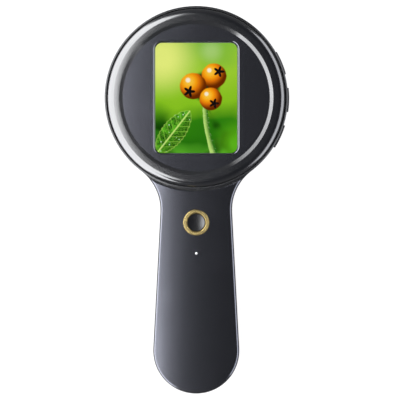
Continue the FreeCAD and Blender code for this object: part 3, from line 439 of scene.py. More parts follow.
@dataclass(frozen=True)
class WorkedMetal(Finish):
    """Bare or plated metal with the lines of its tool, and a duller film in places."""

    grain: Grain = Grain.ALONG_Y
    centre: Pair = AXIS
    lines: float = 0.12
    depth: float = 0.0015
    spread: float = 0.16
    tarnish: Colour = DUST
    film: float = 0.25
    metallic: float = 1.0

    def paint(self, graph: Surface) -> None:
        """Tool lines in relief and roughness, with the film as a colour.

        Args:
            graph: the nodes of the material.
        """
        if self.grain is Grain.TURNED:
            lines = graph.rings(graph.from_point(*self.centre) + graph.z, 1.0 / self.lines)
        else:
            lines = graph.noise(self.lines, 2.0, self.grain.value)
        patches = graph.noise(3.0, 4.0).rise(0.4, 0.75)
        colour = graph.mix(patches * self.film, self.clouded(graph, 2.0, 0.07), self.tarnish)
        rough = self.roughness + (lines - 0.5) * self.spread + patches * (self.spread * 0.6)
        graph.skin(colour, rough, lines, self.depth, Metallic=self.metallic)


@dataclass(frozen=True)
class AnodisedMetal(Finish):
    """Black anodised aluminium, bead blasted, with turning lines and silvery worn rims."""

    rims: tuple[Pair, ...] = ()

    def paint(self, graph: Surface) -> None:
        """Blasted texture, turning lines, and bare metal where a rim is rubbed.

        Args:
            graph: the nodes of the material.
        """
        radius = graph.from_point(*AXIS)
        turns = graph.rings(radius + graph.z, 9.0)
        blast = graph.noise(0.09, 1.0)
        bare: Number = 0.0
        for rim, height in self.rims:
            place = radius.near(rim, 0.3) * graph.z.near(height, 0.3)
            bare = (place * graph.noise(0.8, 3.0).rise(0.45, 0.6)).highest(bare)
        colour = self.clouded(graph, 5.0, 0.1)
        rough = self.roughness + blast * 0.1 + turns * 0.08
        if self.rims:
            colour = graph.mix(bare * 0.7, colour, (0.42, 0.42, 0.43))
            rough = rough - bare * 0.2
        relief = graph.bump(turns, 0.004)
        graph.set(Base_Color=colour, Roughness=rough, Metallic=0.6, Normal=graph.bump(blast, 0.003, relief))


@dataclass(frozen=True)
class GripRubber(Finish):
    """Matt rubber: fine skin, pale dust in the flutes, and smoother worn crests."""

    outer: float = 16.5

    def paint(self, graph: Surface) -> None:
        """Skin relief, dust by the radius, and worn crests.

        Args:
            graph: the nodes of the material.
        """
        radius = graph.from_point(*AXIS)
        valley = radius.rise(self.outer - 0.2, self.outer - 0.55)
        dust = valley * graph.noise(0.7, 4.0).rise(0.35, 0.7)
        crest = radius.rise(self.outer - 0.15, self.outer) * graph.noise(3.0, 2.0).rise(0.3, 0.7)
        colour = graph.mix(dust * 0.5, self.clouded(graph, 3.0, 0.15), (0.09, 0.088, 0.085))
        rough = self.roughness + dust * 0.08 - crest * 0.18
        skin = graph.noise(0.12, 2.0) + graph.noise(0.6, 1.0) * 0.4
        graph.skin(colour, rough, skin, 0.012, Specular_IOR_Level=0.35)


@dataclass(frozen=True)
class ClearPart(Finish):
    """Clear glass or acrylic with a faint tint, dust and a coating that dulls in places."""

    bend: float = 1.49
    marks: float = 0.012
    coat: float = 0.0
    coat_tint: Colour = WHITE

    def paint(self, graph: Surface) -> None:
        """A clear body whose roughness holds wiping marks and dust.

        Args:
            graph: the nodes of the material.
        """
        wiped = graph.noise(4.0, 3.0, (1.0, 0.15, 1.0)).rise(0.45, 0.75)
        dust = graph.cells(1.3).rise(0.05, 0.02)
        colour = graph.mix(graph.noise(6.0, 2.0), self.colour, shade(self.colour, 0.96))
        rough = self.roughness + wiped * self.marks + dust * (self.marks * 5.0)
        graph.skin(colour, rough, graph.noise(5.0, 1.0), 0.0004, Transmission_Weight=1.0, IOR=self.bend,
                   Coat_Weight=self.coat, Coat_Tint=self.coat_tint)


@dataclass(frozen=True)
class CoatedPlate(ClearPart):
    """A clear plate with an anti-reflection coating, so that what lies under it shows from all sides."""

    def paint(self, graph: Surface) -> None:
        """The clear body, which lets more light straight through where it is seen at a slant.

        Args:
            graph: the nodes of the material.
        """
        super().paint(graph)
        straight = graph.node("ShaderNodeBsdfTransparent", {}, {"Color": self.colour})
        graph.blend(graph.slant(30.0, 58.0) * 0.95, straight)


@dataclass(frozen=True)
class LightPipe(ClearPart):
    """A clear pipe that leads a lamp's light to a small bright dot on the handle."""

    centre: Pair = STATUS_AT
    reach: float = 0.44
    level: float = 22.0
    glow: float = 2.0

    def paint(self, graph: Surface) -> None:
        """A clear body whose top shines, less so towards its rim.

        Args:
            graph: the nodes of the material.
        """
        super().paint(graph)
        dot = graph.from_point(*self.centre).rise(self.reach, self.reach * 0.7)
        dot = dot * graph.z.rise(self.level, self.level + 0.08)
        graph.set(Emission_Color=graph.mix(dot, BLACK, SOFT_WHITE), Emission_Strength=self.glow)


@dataclass(frozen=True)
class PrintedSheet(Finish):
    """An ink print on film: even, with a faint screen pattern and softer patches."""

    dots: float = 0.12

    def paint(self, graph: Surface) -> None:
        """Screen dots in relief and a slow change of tone.

        Args:
            graph: the nodes of the material.
        """
        dots = graph.cells(self.dots).rise(0.5, 0.2)
        colour = graph.mix(dots * 0.2, self.clouded(graph, 6.0, 0.06), shade(self.colour, 1.15))
        graph.skin(colour, self.roughness + graph.noise(2.0, 2.0) * 0.1, dots, 0.002)


@dataclass(frozen=True)
class WindowBorder(PrintedSheet):
    """The printed border round the display, with a painted glow on its two long sides."""

    side: float = 15.2
    reach: float = 15.9
    ends: float = 19.6
    glow: float = 1.0

    def paint(self, graph: Surface) -> None:
        """The print, with a painted pale green-grey glow on its long sides.

        Args:
            graph: the nodes of the material.
        """
        super().paint(graph)
        aside = abs(graph.x)
        # Painted light: the print glows pale green-grey along its two long sides, fading out towards the ends.
        lit = aside.rise(self.side - 0.05, self.side + 0.1) * aside.rise(self.reach + 0.1, self.reach)
        lit = lit * abs(graph.y).rise(self.ends + 0.9, self.ends - 1.2)
        tone = graph.mix(graph.noise(6.0, 1.0), (0.11, 0.15, 0.1), (0.2, 0.24, 0.19))
        graph.set(Emission_Color=graph.mix(lit, BLACK, tone), Emission_Strength=self.glow)


@dataclass(frozen=True)
class LightGuide(Finish):
    """A milky plate with rows of light-spreading dots, larger away from its lamps."""

    pitch: float = 0.8

    def paint(self, graph: Surface) -> None:
        """Rows of dots whose size grows along Y.

        Args:
            graph: the nodes of the material.
        """
        half = self.pitch / 2.0
        away = (graph.x % self.pitch - half).length(graph.y % self.pitch - half)
        size = graph.y.rise(-25.0, 22.0) * 0.12 + 0.12
        dots = (size - away).rise(-0.04, 0.04)
        colour = graph.mix(dots * 0.5, self.clouded(graph, 8.0, 0.03), WHITE)
        graph.skin(colour, self.roughness + dots * 0.4, dots, 0.01, Coat_Weight=0.4)


@dataclass(frozen=True)
class CircuitBoard(Finish):
    """Green lacquer over copper tracks, gold rings round holes, and bare glass fibre edges."""

    track: float = 0.9
    weave: Colour = (0.36, 0.3, 0.16)

    def lines(self, across: Value, jog: Value) -> Value:
        """A mask of parallel tracks at right angles to across, which step aside as the noise jog does."""
        steps = jog.sum("SNAP", jog, 0.125) * (self.track * 4.0)
        return (across + steps).off_row(self.track).rise(0.17, 0.11)

    def paint(self, graph: Surface) -> None:
        """Tracks, plated holes with painted shade in their centres, and a fibre weave on the edges.

        Args:
            graph: the nodes of the material.
        """
        along_y = self.lines(graph.x, graph.noise(9.0, 0.0))
        along_x = self.lines(graph.y, graph.noise(7.0, 0.0))
        choice = graph.flakes(7.5).rise(0.48, 0.52)
        tracks = along_y * choice + along_x * (1.0 - choice)
        holes = graph.cells(2.7)
        ring = holes.rise(0.14, 0.11)
        fibre = graph.noise(0.2, 2.0, (0.1, 0.1, 3.0))
        bare = graph.facing().rise(0.6, 0.4)
        level = graph.facing().rise(0.4, 0.6)
        # Painted shade: the centres of the plated holes are painted near black.
        colour = graph.over(self.clouded(graph, 6.0, 0.12), (tracks * 0.7, shade(self.colour, 2.1)),
                            (ring, (0.75, 0.52, 0.18)), (holes.rise(0.07, 0.05), (0.01, 0.01, 0.01)),
                            (bare, graph.mix(fibre, shade(self.weave, 0.6), self.weave)))
        rough = self.roughness + graph.noise(1.0, 2.0) * 0.08 + bare * 0.35
        graph.skin(colour, rough, tracks, 0.02, Metallic=ring * level * 0.9, Coat_Weight=level * 0.4)


@dataclass(frozen=True)
class AmberFilm(Finish):
    """Amber film with fine copper conductors that show through it."""

    pitch: float = 0.5

    def paint(self, graph: Surface) -> None:
        """Conductors along the strip.

        Args:
            graph: the nodes of the material.
        """
        lines = graph.x.off_row(self.pitch).rise(0.15, 0.1)
        colour = graph.mix(lines * 0.7, self.clouded(graph, 4.0, 0.12), (0.62, 0.3, 0.08))
        graph.skin(colour, self.roughness + graph.noise(1.5, 2.0) * 0.1, lines, 0.012, Coat_Weight=0.3)


@dataclass(frozen=True)
class PouchFoil(Finish):
    """Aluminium pouch foil with shallow creases."""

    def paint(self, graph: Surface) -> None:
        """Creases in relief, with painted shade that darkens the foil along them.

        Args:
            graph: the nodes of the material.
        """
        creases = graph.cells(3.4, "DISTANCE_TO_EDGE", (1.0, 0.7, 1.0))
        crease_relief_and_shade = creases.rise(0.1, 0.0) * graph.noise(9.0, 2.0).rise(0.4, 0.7)
        fine = graph.noise(0.35, 3.0)
        # Painted shade: the foil is darkened along the creases.
        colour = graph.mix(crease_relief_and_shade * 0.3, self.clouded(graph, 9.0, 0.06), (0.3, 0.31, 0.33))
        relief = graph.bump(fine, 0.01, graph.bump(crease_relief_and_shade, 0.05))
        graph.set(Base_Color=colour, Roughness=self.roughness + fine * 0.16, Metallic=0.85, Normal=relief)


@dataclass(frozen=True)
class ClosedFoam(Finish):
    """Closed-cell foam: small round cells of mixed size."""

    cell: float = 0.35

    def paint(self, graph: Surface) -> None:
        """Cells in relief, with painted shade that darkens their hollows.

        Args:
            graph: the nodes of the material.
        """
        cells = graph.cells(self.cell)
        # Painted shade: the hollow middle of each cell is darker.
        colour = graph.mix(cells.rise(0.6, 0.1), self.clouded(graph, 4.0, 0.1), shade(self.colour, 0.4))
        graph.skin(colour, self.roughness, cells, 0.06)


@dataclass(frozen=True)
class LampBody(Finish):
    """The white body of a lamp with a yellow phosphor window on its underside."""

    circle: float = 7.6
    under: float = 1.95

    def paint(self, graph: Surface) -> None:
        """A phosphor window on each of the eight lamps round the axis.

        Args:
            graph: the nodes of the material.
        """
        radius = graph.from_point(*AXIS)
        eighth = math.pi / 4.0
        aside = (graph.y.turn(graph.x) + eighth / 2.0).off_row(eighth) * radius
        window = abs(radius - self.circle).rise(0.72, 0.66) * aside.rise(1.06, 1.0)
        window = window * graph.z.rise(self.under + 0.1, self.under)
        colour = graph.mix(window, self.clouded(graph, 1.0, 0.04), (0.9, 0.62, 0.08))
        graph.skin(colour, self.roughness + window * 0.25, graph.noise(0.1, 2.0), 0.004, Coat_Weight=0.3)


@dataclass(frozen=True)
class SensorGlass(Finish):
    """The cover of an image sensor: a dark field of cells inside a gold-lined frame."""

    half: float = 2.6

    def paint(self, graph: Surface) -> None:
        """The field with a painted sheen, its gold border and the pale package round it.

        Args:
            graph: the nodes of the material.
        """
        reach = abs(graph.x).highest(abs(graph.y))
        inside = reach.rise(self.half, self.half - 0.1)
        border = reach.near(self.half + 0.15, 0.12)
        # Painted sheen: the dark field shifts between blue and purple in soft patches.
        painted_sheen = graph.noise(3.0, 1.0).rise(0.3, 0.7)
        deep = graph.mix(painted_sheen, (0.02, 0.05, 0.09), (0.07, 0.03, 0.1))
        colour = graph.over(self.clouded(graph, 2.0, 0.08), (inside, deep), (border, (0.8, 0.55, 0.2)))
        cells = graph.x.off_row(0.12).rise(0.03, 0.05)
        graph.skin(colour, self.roughness + cells * 0.05, cells, 0.001, Metallic=border * 0.9, Coat_Weight=0.8)


# The screen's picture: three orange berries, their stalk and a leaf, seen close


@dataclass(frozen=True)
class Berry:
    """One round berry of the picture: its centre, its size and the dark star at its tip."""

    x: float
    y: float
    radius: float
    tip: Pair

    def paint(self, graph: Surface, colour: Value) -> Value:
        """Paints the berry.

        Args:
            graph: the nodes of the material.
            colour: the picture so far.

        Returns:
            The picture with the berry.
        """
        wobble = (graph.noise(2.2, 2.0) - 0.5) * 0.5
        away = graph.from_point(self.x, self.y) + wobble
        inside = away.rise(self.radius + 0.25, self.radius - 0.25)
        light = graph.from_point(self.x - self.radius * 0.3, self.y + self.radius * 0.35)
        tone = light.rise(self.radius * 1.25, 0.0)
        stops = [(0.0, (0.14, 0.02, 0.0)), (0.3, (0.75, 0.17, 0.003)), (0.65, (1.0, 0.38, 0.006)),
                 (1.0, (1.0, 0.6, 0.05))]
        skin = graph.node("ShaderNodeValToRGB", {"stops": stops}, {0: tone})
        pores = graph.cells(0.55).rise(0.16, 0.06)
        gleam = graph.from_point(self.x - self.radius * 0.38, self.y + self.radius * 0.45)
        gleam = gleam.rise(self.radius * 0.24, self.radius * 0.1)
        across, along = graph.x - self.tip[0], graph.y - self.tip[1]
        angle = along.turn(across) * 5.0
        star = 0.34 + angle.sum("COSINE", angle) * 0.13
        dark = (star - across.length(along) / self.radius + wobble * 0.1).rise(-0.02, 0.05)
        skin = graph.over(skin, (pores * 0.35, (0.4, 0.1, 0.0)), (gleam * 0.85, (1.0, 0.95, 0.8)),
                          (dark, graph.mix(pores, (0.006, 0.004, 0.004), (0.2, 0.12, 0.1))))
        return graph.mix(inside, colour, skin)


@dataclass(frozen=True)
class LitPicture(Finish):
    """The lit display: a close-up of berries before a soft green garden."""

    half: Pair = (15.2, 20.45)
    level: float = 19.7
    brightness: float = 0.96
    berries: tuple[Berry, ...] = (
        Berry(6.6, 8.2, 4.6, (8.4, 9.8)),
        Berry(-1.2, 4.4, 4.9, (-2.6, 2.4)),
        Berry(5.4, -0.4, 4.2, (6.6, -2.0)),
    )

    def garden(self, graph: Surface) -> Value:
        """The soft background.

        Args:
            graph: the nodes of the material.

        Returns:
            Its colour.
        """
        along = (graph.y + self.half[1]) / (2.0 * self.half[1])
        stops = [(0.0, (0.09, 0.38, 0.02)), (0.13, (0.02, 0.17, 0.004)), (0.28, (0.03, 0.22, 0.005)),
                 (0.45, (0.25, 0.55, 0.015)), (0.72, (0.34, 0.62, 0.03)), (1.0, (0.22, 0.5, 0.05))]
        tall = graph.node("ShaderNodeValToRGB", {"stops": stops}, {0: along + (graph.noise(11.0, 1.0) - 0.5) * 0.3})
        shadow = graph.noise(8.0, 1.0).rise(0.46, 0.64) * along.rise(0.42, 0.2)
        return graph.over(
            tall,
            (graph.from_point(-13.0, 15.0).rise(17.0, 2.0) * 0.95, (0.84, 0.9, 0.22)),
            (graph.from_point(5.5, 17.5).rise(6.0, 0.5) * 0.3, (0.7, 0.85, 0.45)),
            (shadow * 0.92, (0.003, 0.03, 0.001)),
            (graph.from_point(15.0, -16.0).rise(10.0, 1.0) * 0.7, (0.13, 0.52, 0.01)),
        )

    def leaf(self, graph: Surface, colour: Value) -> Value:
        """Paints a toothed leaf that comes in from the lower left.

        Args:
            graph: the nodes of the material.
            colour: the picture so far.

        Returns:
            The picture with the leaf.
        """
        turn = math.radians(52.0)
        along = (graph.x + 15.0) * math.cos(turn) + (graph.y + 21.0) * math.sin(turn)
        across = (graph.y + 21.0) * math.cos(turn) - (graph.x + 15.0) * math.sin(turn)
        teeth = (along + abs(across) * 0.5).off_row(1.6) * 0.5
        share = along / 21.0
        blunt = share.rise(-0.02, 0.08) * share.rise(1.0, 0.9)
        width = ((1.0 - share).highest(0.0) * share.highest(0.0)) ** 0.75 * 12.0 + (teeth * 0.8 + 0.4) * blunt - 0.4
        margin = width - abs(across)
        ribs = (along - abs(across) * 0.8).off_row(2.4).rise(0.24, 0.04)
        net = graph.cells(0.7, "DISTANCE_TO_EDGE").rise(0.12, 0.0)
        beads = graph.cells(1.9)
        blade = graph.over(
            (0.006, 0.07, 0.002),
            (graph.noise(1.2, 3.0).rise(0.3, 0.7), (0.08, 0.42, 0.012)),
            (across.rise(0.5, -2.5) * 0.6, (0.004, 0.035, 0.0)),
            (ribs.highest(net * 0.5) * 0.7, (0.3, 0.68, 0.06)),
            (abs(across).rise(0.42, 0.1) * 0.9, (0.62, 0.86, 0.2)),
            (margin.rise(0.55, 0.1) * 0.7, (0.5, 0.8, 0.12)),
            (beads.rise(0.16, 0.1), (0.4, 0.7, 0.3)),
            (beads.rise(0.07, 0.04), (0.95, 1.0, 0.9)),
        )
        return graph.mix(margin.rise(-0.1, 0.35), colour, blade)

    def stalk(self, graph: Surface, colour: Value) -> Value:
        """Paints the stalk that carries the berries.

        Args:
            graph: the nodes of the material.
            colour: the picture so far.

        Returns:
            The picture with the stalk.
        """
        bend = (graph.y + 4.0) * (graph.y + 4.0) * 0.012
        aside = graph.x - 3.4 - bend
        hairs = graph.noise(0.5, 2.0, (1.0, 2.0, 1.0))
        width = 0.85 + hairs * 0.5 + graph.y.rise(-14.0, -21.0) * 0.5
        inside = (width - abs(aside)).rise(-0.05, 0.3) * graph.y.rise(7.0, 5.0)
        body = graph.over((0.5, 0.76, 0.18), (aside.rise(-0.9, 0.9), (0.02, 0.16, 0.006)),
                          (hairs.rise(0.6, 0.75) * 0.6, (0.8, 0.95, 0.5)))
        second = graph.x + graph.y * 0.62 - 2.2
        branch = abs(second).rise(0.8, 0.5) * graph.x.rise(-6.0, -4.5) * graph.x.rise(6.0, 4.0)
        return graph.over(colour, (branch * graph.y.rise(9.0, 8.0), (0.04, 0.1, 0.01)), (inside, body))

    def paint(self, graph: Surface) -> None:
        """The picture as light, inside the lit area of the panel's upper face only.

        Args:
            graph: the nodes of the material.
        """
        colour = self.stalk(graph, self.leaf(graph, self.garden(graph)))
        gap = graph.from_point(3.2, 4.2).rise(6.2, 4.4)
        colour = graph.mix(gap * 0.95, colour, (0.004, 0.003, 0.002))
        for berry in self.berries:
            colour = berry.paint(graph, colour)
        lit = abs(graph.x).rise(self.half[0] + 0.05, self.half[0])
        lit = lit * abs(graph.y).rise(self.half[1] + 0.05, self.half[1])
        lit = lit * graph.z.rise(self.level, self.level + 0.05)
        graph.skin(graph.mix(lit, self.colour, BLACK), self.roughness, graph.noise(0.2, 1.0), 0.0005,
                   Emission_Color=graph.mix(lit, BLACK, colour), Emission_Strength=self.brightness,
                   Specular_IOR_Level=0.0)


FINISHES: tuple[Finish, ...] = (
    MouldedPlastic("shell_plastic", (0.0045, 0.0047, 0.0054), 0.22, worn_heights=(21.0, 8.0), seam=13.0,
                   groove=(33.1, 21.9), gleam=0.35),
    SatinCoat("panel_coat", (0.002, 0.0021, 0.0025), 0.148, rubbed=0.01),
    GlossPlastic("bezel_gloss", (0.0017, 0.0019, 0.0026), 0.15, coat=1.0, coat_roughness=0.14),
    SatinCoat("face_coat", (0.002, 0.0021, 0.0025), 0.15, flake=0.07, peel=0.0004, rubbed=0.008),
    CoatedPlate("clear_plate", (0.97, 0.985, 0.98), 0.0, bend=1.12, marks=0.002),
    WindowBorder("mask_print", (0.05, 0.052, 0.052), 0.5),
    LitPicture("display_glass", (0.02, 0.022, 0.025), 0.12),
    LightGuide("guide_acrylic", (0.82, 0.84, 0.86), 0.15),
    WorkedMetal("tray_steel", (0.6, 0.61, 0.63), 0.3, Grain.ALONG_X),
    AmberFilm("flex_film", (0.42, 0.17, 0.02), 0.3),
    CircuitBoard("circuit_board", (0.008, 0.1, 0.035), 0.28),
    MouldedPlastic("chip_black", (0.014, 0.014, 0.015), 0.55, grain=0.07, depth=0.004),
    SensorGlass("sensor_glass", (0.32, 0.3, 0.26), 0.1),
    AnodisedMetal("barrel_metal", (0.022, 0.022, 0.024), 0.4, rims=((13.5, 0.0), (13.5, 2.85), (9.2, 0.0))),
    GripRubber("grip_rubber", (0.013, 0.013, 0.014), 0.68),
    ClearPart("lens_glass", (0.86, 0.93, 0.97), 0.005, bend=1.52, coat=0.6, coat_tint=(0.62, 0.5, 0.95)),
    LampBody("led_body", (0.85, 0.84, 0.8), 0.3),
    WorkedMetal("gold_trim", (0.51, 0.395, 0.165), 0.17, Grain.TURNED, centre=SHUTTER_AT, lines=0.08,
                depth=0.0001, spread=0.03, tarnish=(0.4, 0.29, 0.1), film=0.15, metallic=0.95),
    GlossPlastic("button_gloss", (0.0012, 0.0012, 0.0016), 0.16, gleam=0.4, coat=0.5, coat_roughness=0.15,
                 centre=SHUTTER_AT),
    MouldedPlastic("key_plastic", (0.005, 0.005, 0.006), 0.26, grain=0.12, depth=0.002, gleam=0.22),
    MouldedPlastic("switch_plastic", (0.03, 0.03, 0.032), 0.45, grain=0.1, depth=0.004),
    LightPipe("pipe_clear", (0.95, 0.97, 1.0), 0.05),
    PouchFoil("cell_foil", (0.72, 0.73, 0.75), 0.3),
    ClosedFoam("foam", (0.03, 0.03, 0.031), 0.9),
    WorkedMetal("port_steel", (0.66, 0.66, 0.67), 0.26, Grain.ALONG_Y, film=0.15),
    WorkedMetal("screw_steel", (0.09, 0.09, 0.095), 0.36, Grain.TURNED, lines=0.2, tarnish=(0.02, 0.02, 0.02)),
)

# Finishes of small pieces that are made here, each with the record's slot that it belongs to
CONTACT_GOLD = WorkedMetal("port_steel", (0.83, 0.6, 0.24), 0.2, Grain.ALONG_Y, lines=0.05, film=0.12)
SOLDER = WorkedMetal("tray_steel", (0.7, 0.71, 0.72), 0.24, Grain.UPRIGHT, lines=0.3, film=0.2)
WHITE_PRINT = PrintedSheet("mask_print", (0.62, 0.62, 0.6), 0.45, dots=0.08)
CERAMIC = MouldedPlastic("chip_black", (0.19, 0.13, 0.08), 0.45, grain=0.06, depth=0.002)
PHOSPHOR = PrintedSheet("led_body", (0.93, 0.72, 0.12), 0.35, dots=0.05)
AMBER_TAPE = AmberFilm("flex_film", (0.5, 0.24, 0.03), 0.25, pitch=1.4)


class Paintbox:
    """Makes each finish's material once and hands it out."""

    def __init__(self) -> None:
        """Starts with the finishes of the record's slots."""
        self.by_slot = {finish.slot: finish for finish in FINISHES}
        self.made: dict[Finish, bpy.types.Material] = {}

    def get(self, finish: Finish) -> bpy.types.Material:
        """The material of a finish.

        Args:
            finish: the finish.

        Returns:
            Its material, made at the first call.
        """
        if finish not in self.made:
            self.made[finish] = finish.material()
        return self.made[finish]

    def dress(self, *nodes: str) -> None:
        """Gives solids the finish of their slot in the record.

        Args:
            nodes: the names of the solids.
        """
        slots = {row["node"]: row["material_slot"] for row in frame["record"]["subparts"]}
        for name in nodes:
            material = self.get(self.by_slot[slots[name]])
            for place in frame["nodes"][name].material_slots:
                place.material = material
            LOG.info("dressed %s as %s", name, slots[name])


PAINTS = Paintbox()


# Meshes


def stood(name: str, data: bpy.types.ID) -> bpy.types.Object:
    """Makes an object of a mesh, light or camera and puts it into the scene.

    Args:
        name: its name.
        data: the mesh, light or camera.

    Returns:
        The object.
    """
    made = bpy.data.objects.new(name, data)
    bpy.context.scene.collection.objects.link(made)
    return made


@dataclass
class Form:
    """A piece that is being modelled, in millimetres."""

    name: str
    mesh: bmesh.types.BMesh = field(default_factory=bmesh.new)
    finishes: list[Finish] = field(default_factory=list)

    def colour(self, faces: set[bmesh.types.BMFace], finish: Finish) -> None:
        """Gives faces a finish.

        Args:
            faces: the faces.
            finish: their finish, which the piece gets if it is new.
        """
        if finish not in self.finishes:
            self.finishes.append(finish)
        for face in faces:
            face.material_index = self.finishes.index(finish)

    def block(self, low: Point, high: Point, edge: float, finish: Finish, spin: float = 0.0) -> None:
        """A block with chamfered edges.

        Args:
            low: its lowest corner.
            high: its highest corner.
            edge: the width that is taken off its edges.
            finish: its finish.
            spin: a turn about the upright axis through the origin, in degrees.
        """
        size, middle = Vector(high) - Vector(low), (Vector(low) + Vector(high)) / 2.0
        place = Matrix.Rotation(math.radians(spin), 4, "Z") @ Matrix.Translation(middle)
        verts = bmesh.ops.create_cube(self.mesh, size=1.0, matrix=place @ Matrix.Diagonal((*size, 1.0)))["verts"]
        self.colour({face for vert in verts for face in vert.link_faces}, finish)
        edges = list({one for vert in verts for one in vert.link_edges})
        bmesh.ops.bevel(self.mesh, geom=edges, offset=edge, segments=1, profile=0.5, affect="EDGES", material=-1,
                        clamp_overlap=True)

    def turned(self, profile: list[Pair], centre: Pair, finish: Finish, steps: int) -> None:
        """A profile of radius and height, spun about an upright axis.

        Args:
            profile: its points in order; it closes on the axis or on itself.
            centre: where the axis stands.
            finish: its finish.
            steps: how many steps a turn has.
        """
        verts = [self.mesh.verts.new((centre[0] + radius, centre[1], height)) for radius, height in profile]
        edges = [self.mesh.edges.new(pair) for pair in zip(verts, verts[1:])]
        if profile[0][0] > 0.0 or profile[-1][0] > 0.0:
            edges.append(self.mesh.edges.new((verts[-1], verts[0])))
        before = set(self.mesh.faces)
        bmesh.ops.spin(self.mesh, geom=verts + edges, cent=(*centre, 0.0), axis=(0.0, 0.0, 1.0), dvec=(0.0, 0.0, 0.0),
                       angle=math.tau, steps=steps, use_merge=True, use_duplicate=False)
        self.colour(set(self.mesh.faces) - before, finish)

    def finish(self, body: str, slot: str) -> None:
        """Closes the mesh and makes it a piece that moves with a body.

        Args:
            body: the body that it rides on.
            slot: a material slot of the record; not used.
        """
        bmesh.ops.remove_doubles(self.mesh, verts=self.mesh.verts, dist=WELD)
        bmesh.ops.recalc_face_normals(self.mesh, faces=self.mesh.faces)
        bmesh.ops.scale(self.mesh, vec=(MM, MM, MM), verts=self.mesh.verts)
        data = bpy.data.meshes.new(self.name)
        self.mesh.to_mesh(data)
        self.mesh.free()
        for finish in self.finishes:
            data.materials.append(PAINTS.get(finish))
        data.shade_smooth()
        data.set_sharp_from_angle(angle=SHARP_ANGLE)
        made = stood(self.name, data)
        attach(made, body)
        LOG.info("made %s with %d faces", self.name, len(data.polygons))


class SubAssembly:
    """A group of solids that are dressed together, with the small pieces made on them."""

    solids: tuple[str, ...] = ()

    def make(self) -> None:
        """Makes the extra pieces; a group without any makes none."""

    def build(self) -> None:
        """Dresses the group's solids and makes its extra pieces."""
        PAINTS.dress(*self.solids)
        self.make()
        LOG.info("%s is done", type(self).__name__)


# Sub-assemblies


@dataclass
class Housing(SubAssembly):
    """The two moulded shells, the handle panel and the screws that hold them."""

    solids = ("rear_shell", "front_shell", "handle_panel", "housing_screws", "board_screws")
    tick_from: float = 18.2
    tick: Pair = (19.7, 0.1)
    main_tick: Pair = (20.6, 0.16)
    tick_pitch: float = 15.0
    back: float = 8.0
    sunk: float = 0.03
    proud: float = 0.02

    def make(self) -> None:
        """Prints a focus scale on the back, beside the focus ring: ticks only, every third one longer."""
        scale = Form("focus_scale")
        for step in range(-6, 7):
            end, half = self.tick if step % 3 else self.main_tick
            low, high = (self.tick_from, -half, self.back - self.sunk), (end, half, self.back + self.proud)
            scale.block(low, high, 0.01, WHITE_PRINT, 90.0 + step * self.tick_pitch)
        scale.finish("housing", "mask_print")


@dataclass
class HeadFront(SubAssembly):
    """The bezel ring, the face with its window, and the display stack behind it."""

    solids = ("bezel_ring", "face_disc", "face_tape", "screen_lens", "screen_mask", "lcd_panel", "light_guide",
              "lcd_tray", "display_flex")


@dataclass
class Optics(SubAssembly):
    """The barrel with its nut, the focus ring, the sliding cell with its lens, and the lamps."""

    solids = ("lens_barrel", "barrel_nut", "focus_ring", "lens_cell", "follower_pins", "objective_lens", "lens_clamp",
              "front_window", "led_spacer", "led_board", "led_emitters", "led_lead")
    lamps: int = 8
    lamp_circle: float = 7.6
    lamp_under: float = 1.9
    dome: tuple[Pair, ...] = ((0.0, -0.16), (0.3, -0.14), (0.55, -0.08), (0.68, 0.0), (0.66, 0.03), (0.0, 0.03))
    ring_under: float = 2.95
    mark_at: Pair = (0.0, 14.9)
    mark: tuple[Pair, ...] = ((0.0, -0.06), (0.3, -0.05), (0.42, 0.0), (0.4, 0.03), (0.0, 0.03))

    def make(self) -> None:
        """Domes the phosphor of each lamp, and marks the focus ring."""
        domes = Form("lamp_phosphor")
        profile = [(radius, self.lamp_under + height) for radius, height in self.dome]
        for lamp in range(self.lamps):
            angle = math.tau * lamp / self.lamps
            centre = (self.lamp_circle * math.cos(angle), self.lamp_circle * math.sin(angle))
            domes.turned(profile, centre, PHOSPHOR, 20)
        domes.finish("housing", "led_body")
        mark = Form("focus_mark")
        profile = [(radius, self.ring_under + height) for radius, height in self.mark]
        mark.turned(profile, self.mark_at, WHITE_PRINT, 24)
        mark.finish("focus", "mask_print")


@dataclass
class ShutterGroup(SubAssembly):
    """The shutter button in its gold ring, its switch, and the status light."""

    solids = ("button_ring", "shutter_button", "shutter_plunger", "shutter_switch", "light_pipe", "status_led")


@dataclass
class SideKeys(SubAssembly):
    """The three keys on the right of the head with their switches."""

    solids = (*(f"side_{kind}_{place}" for kind in ("button", "plunger") for place in ("upper", "middle", "lower")),
              "side_carrier", "side_flex", "side_switches")


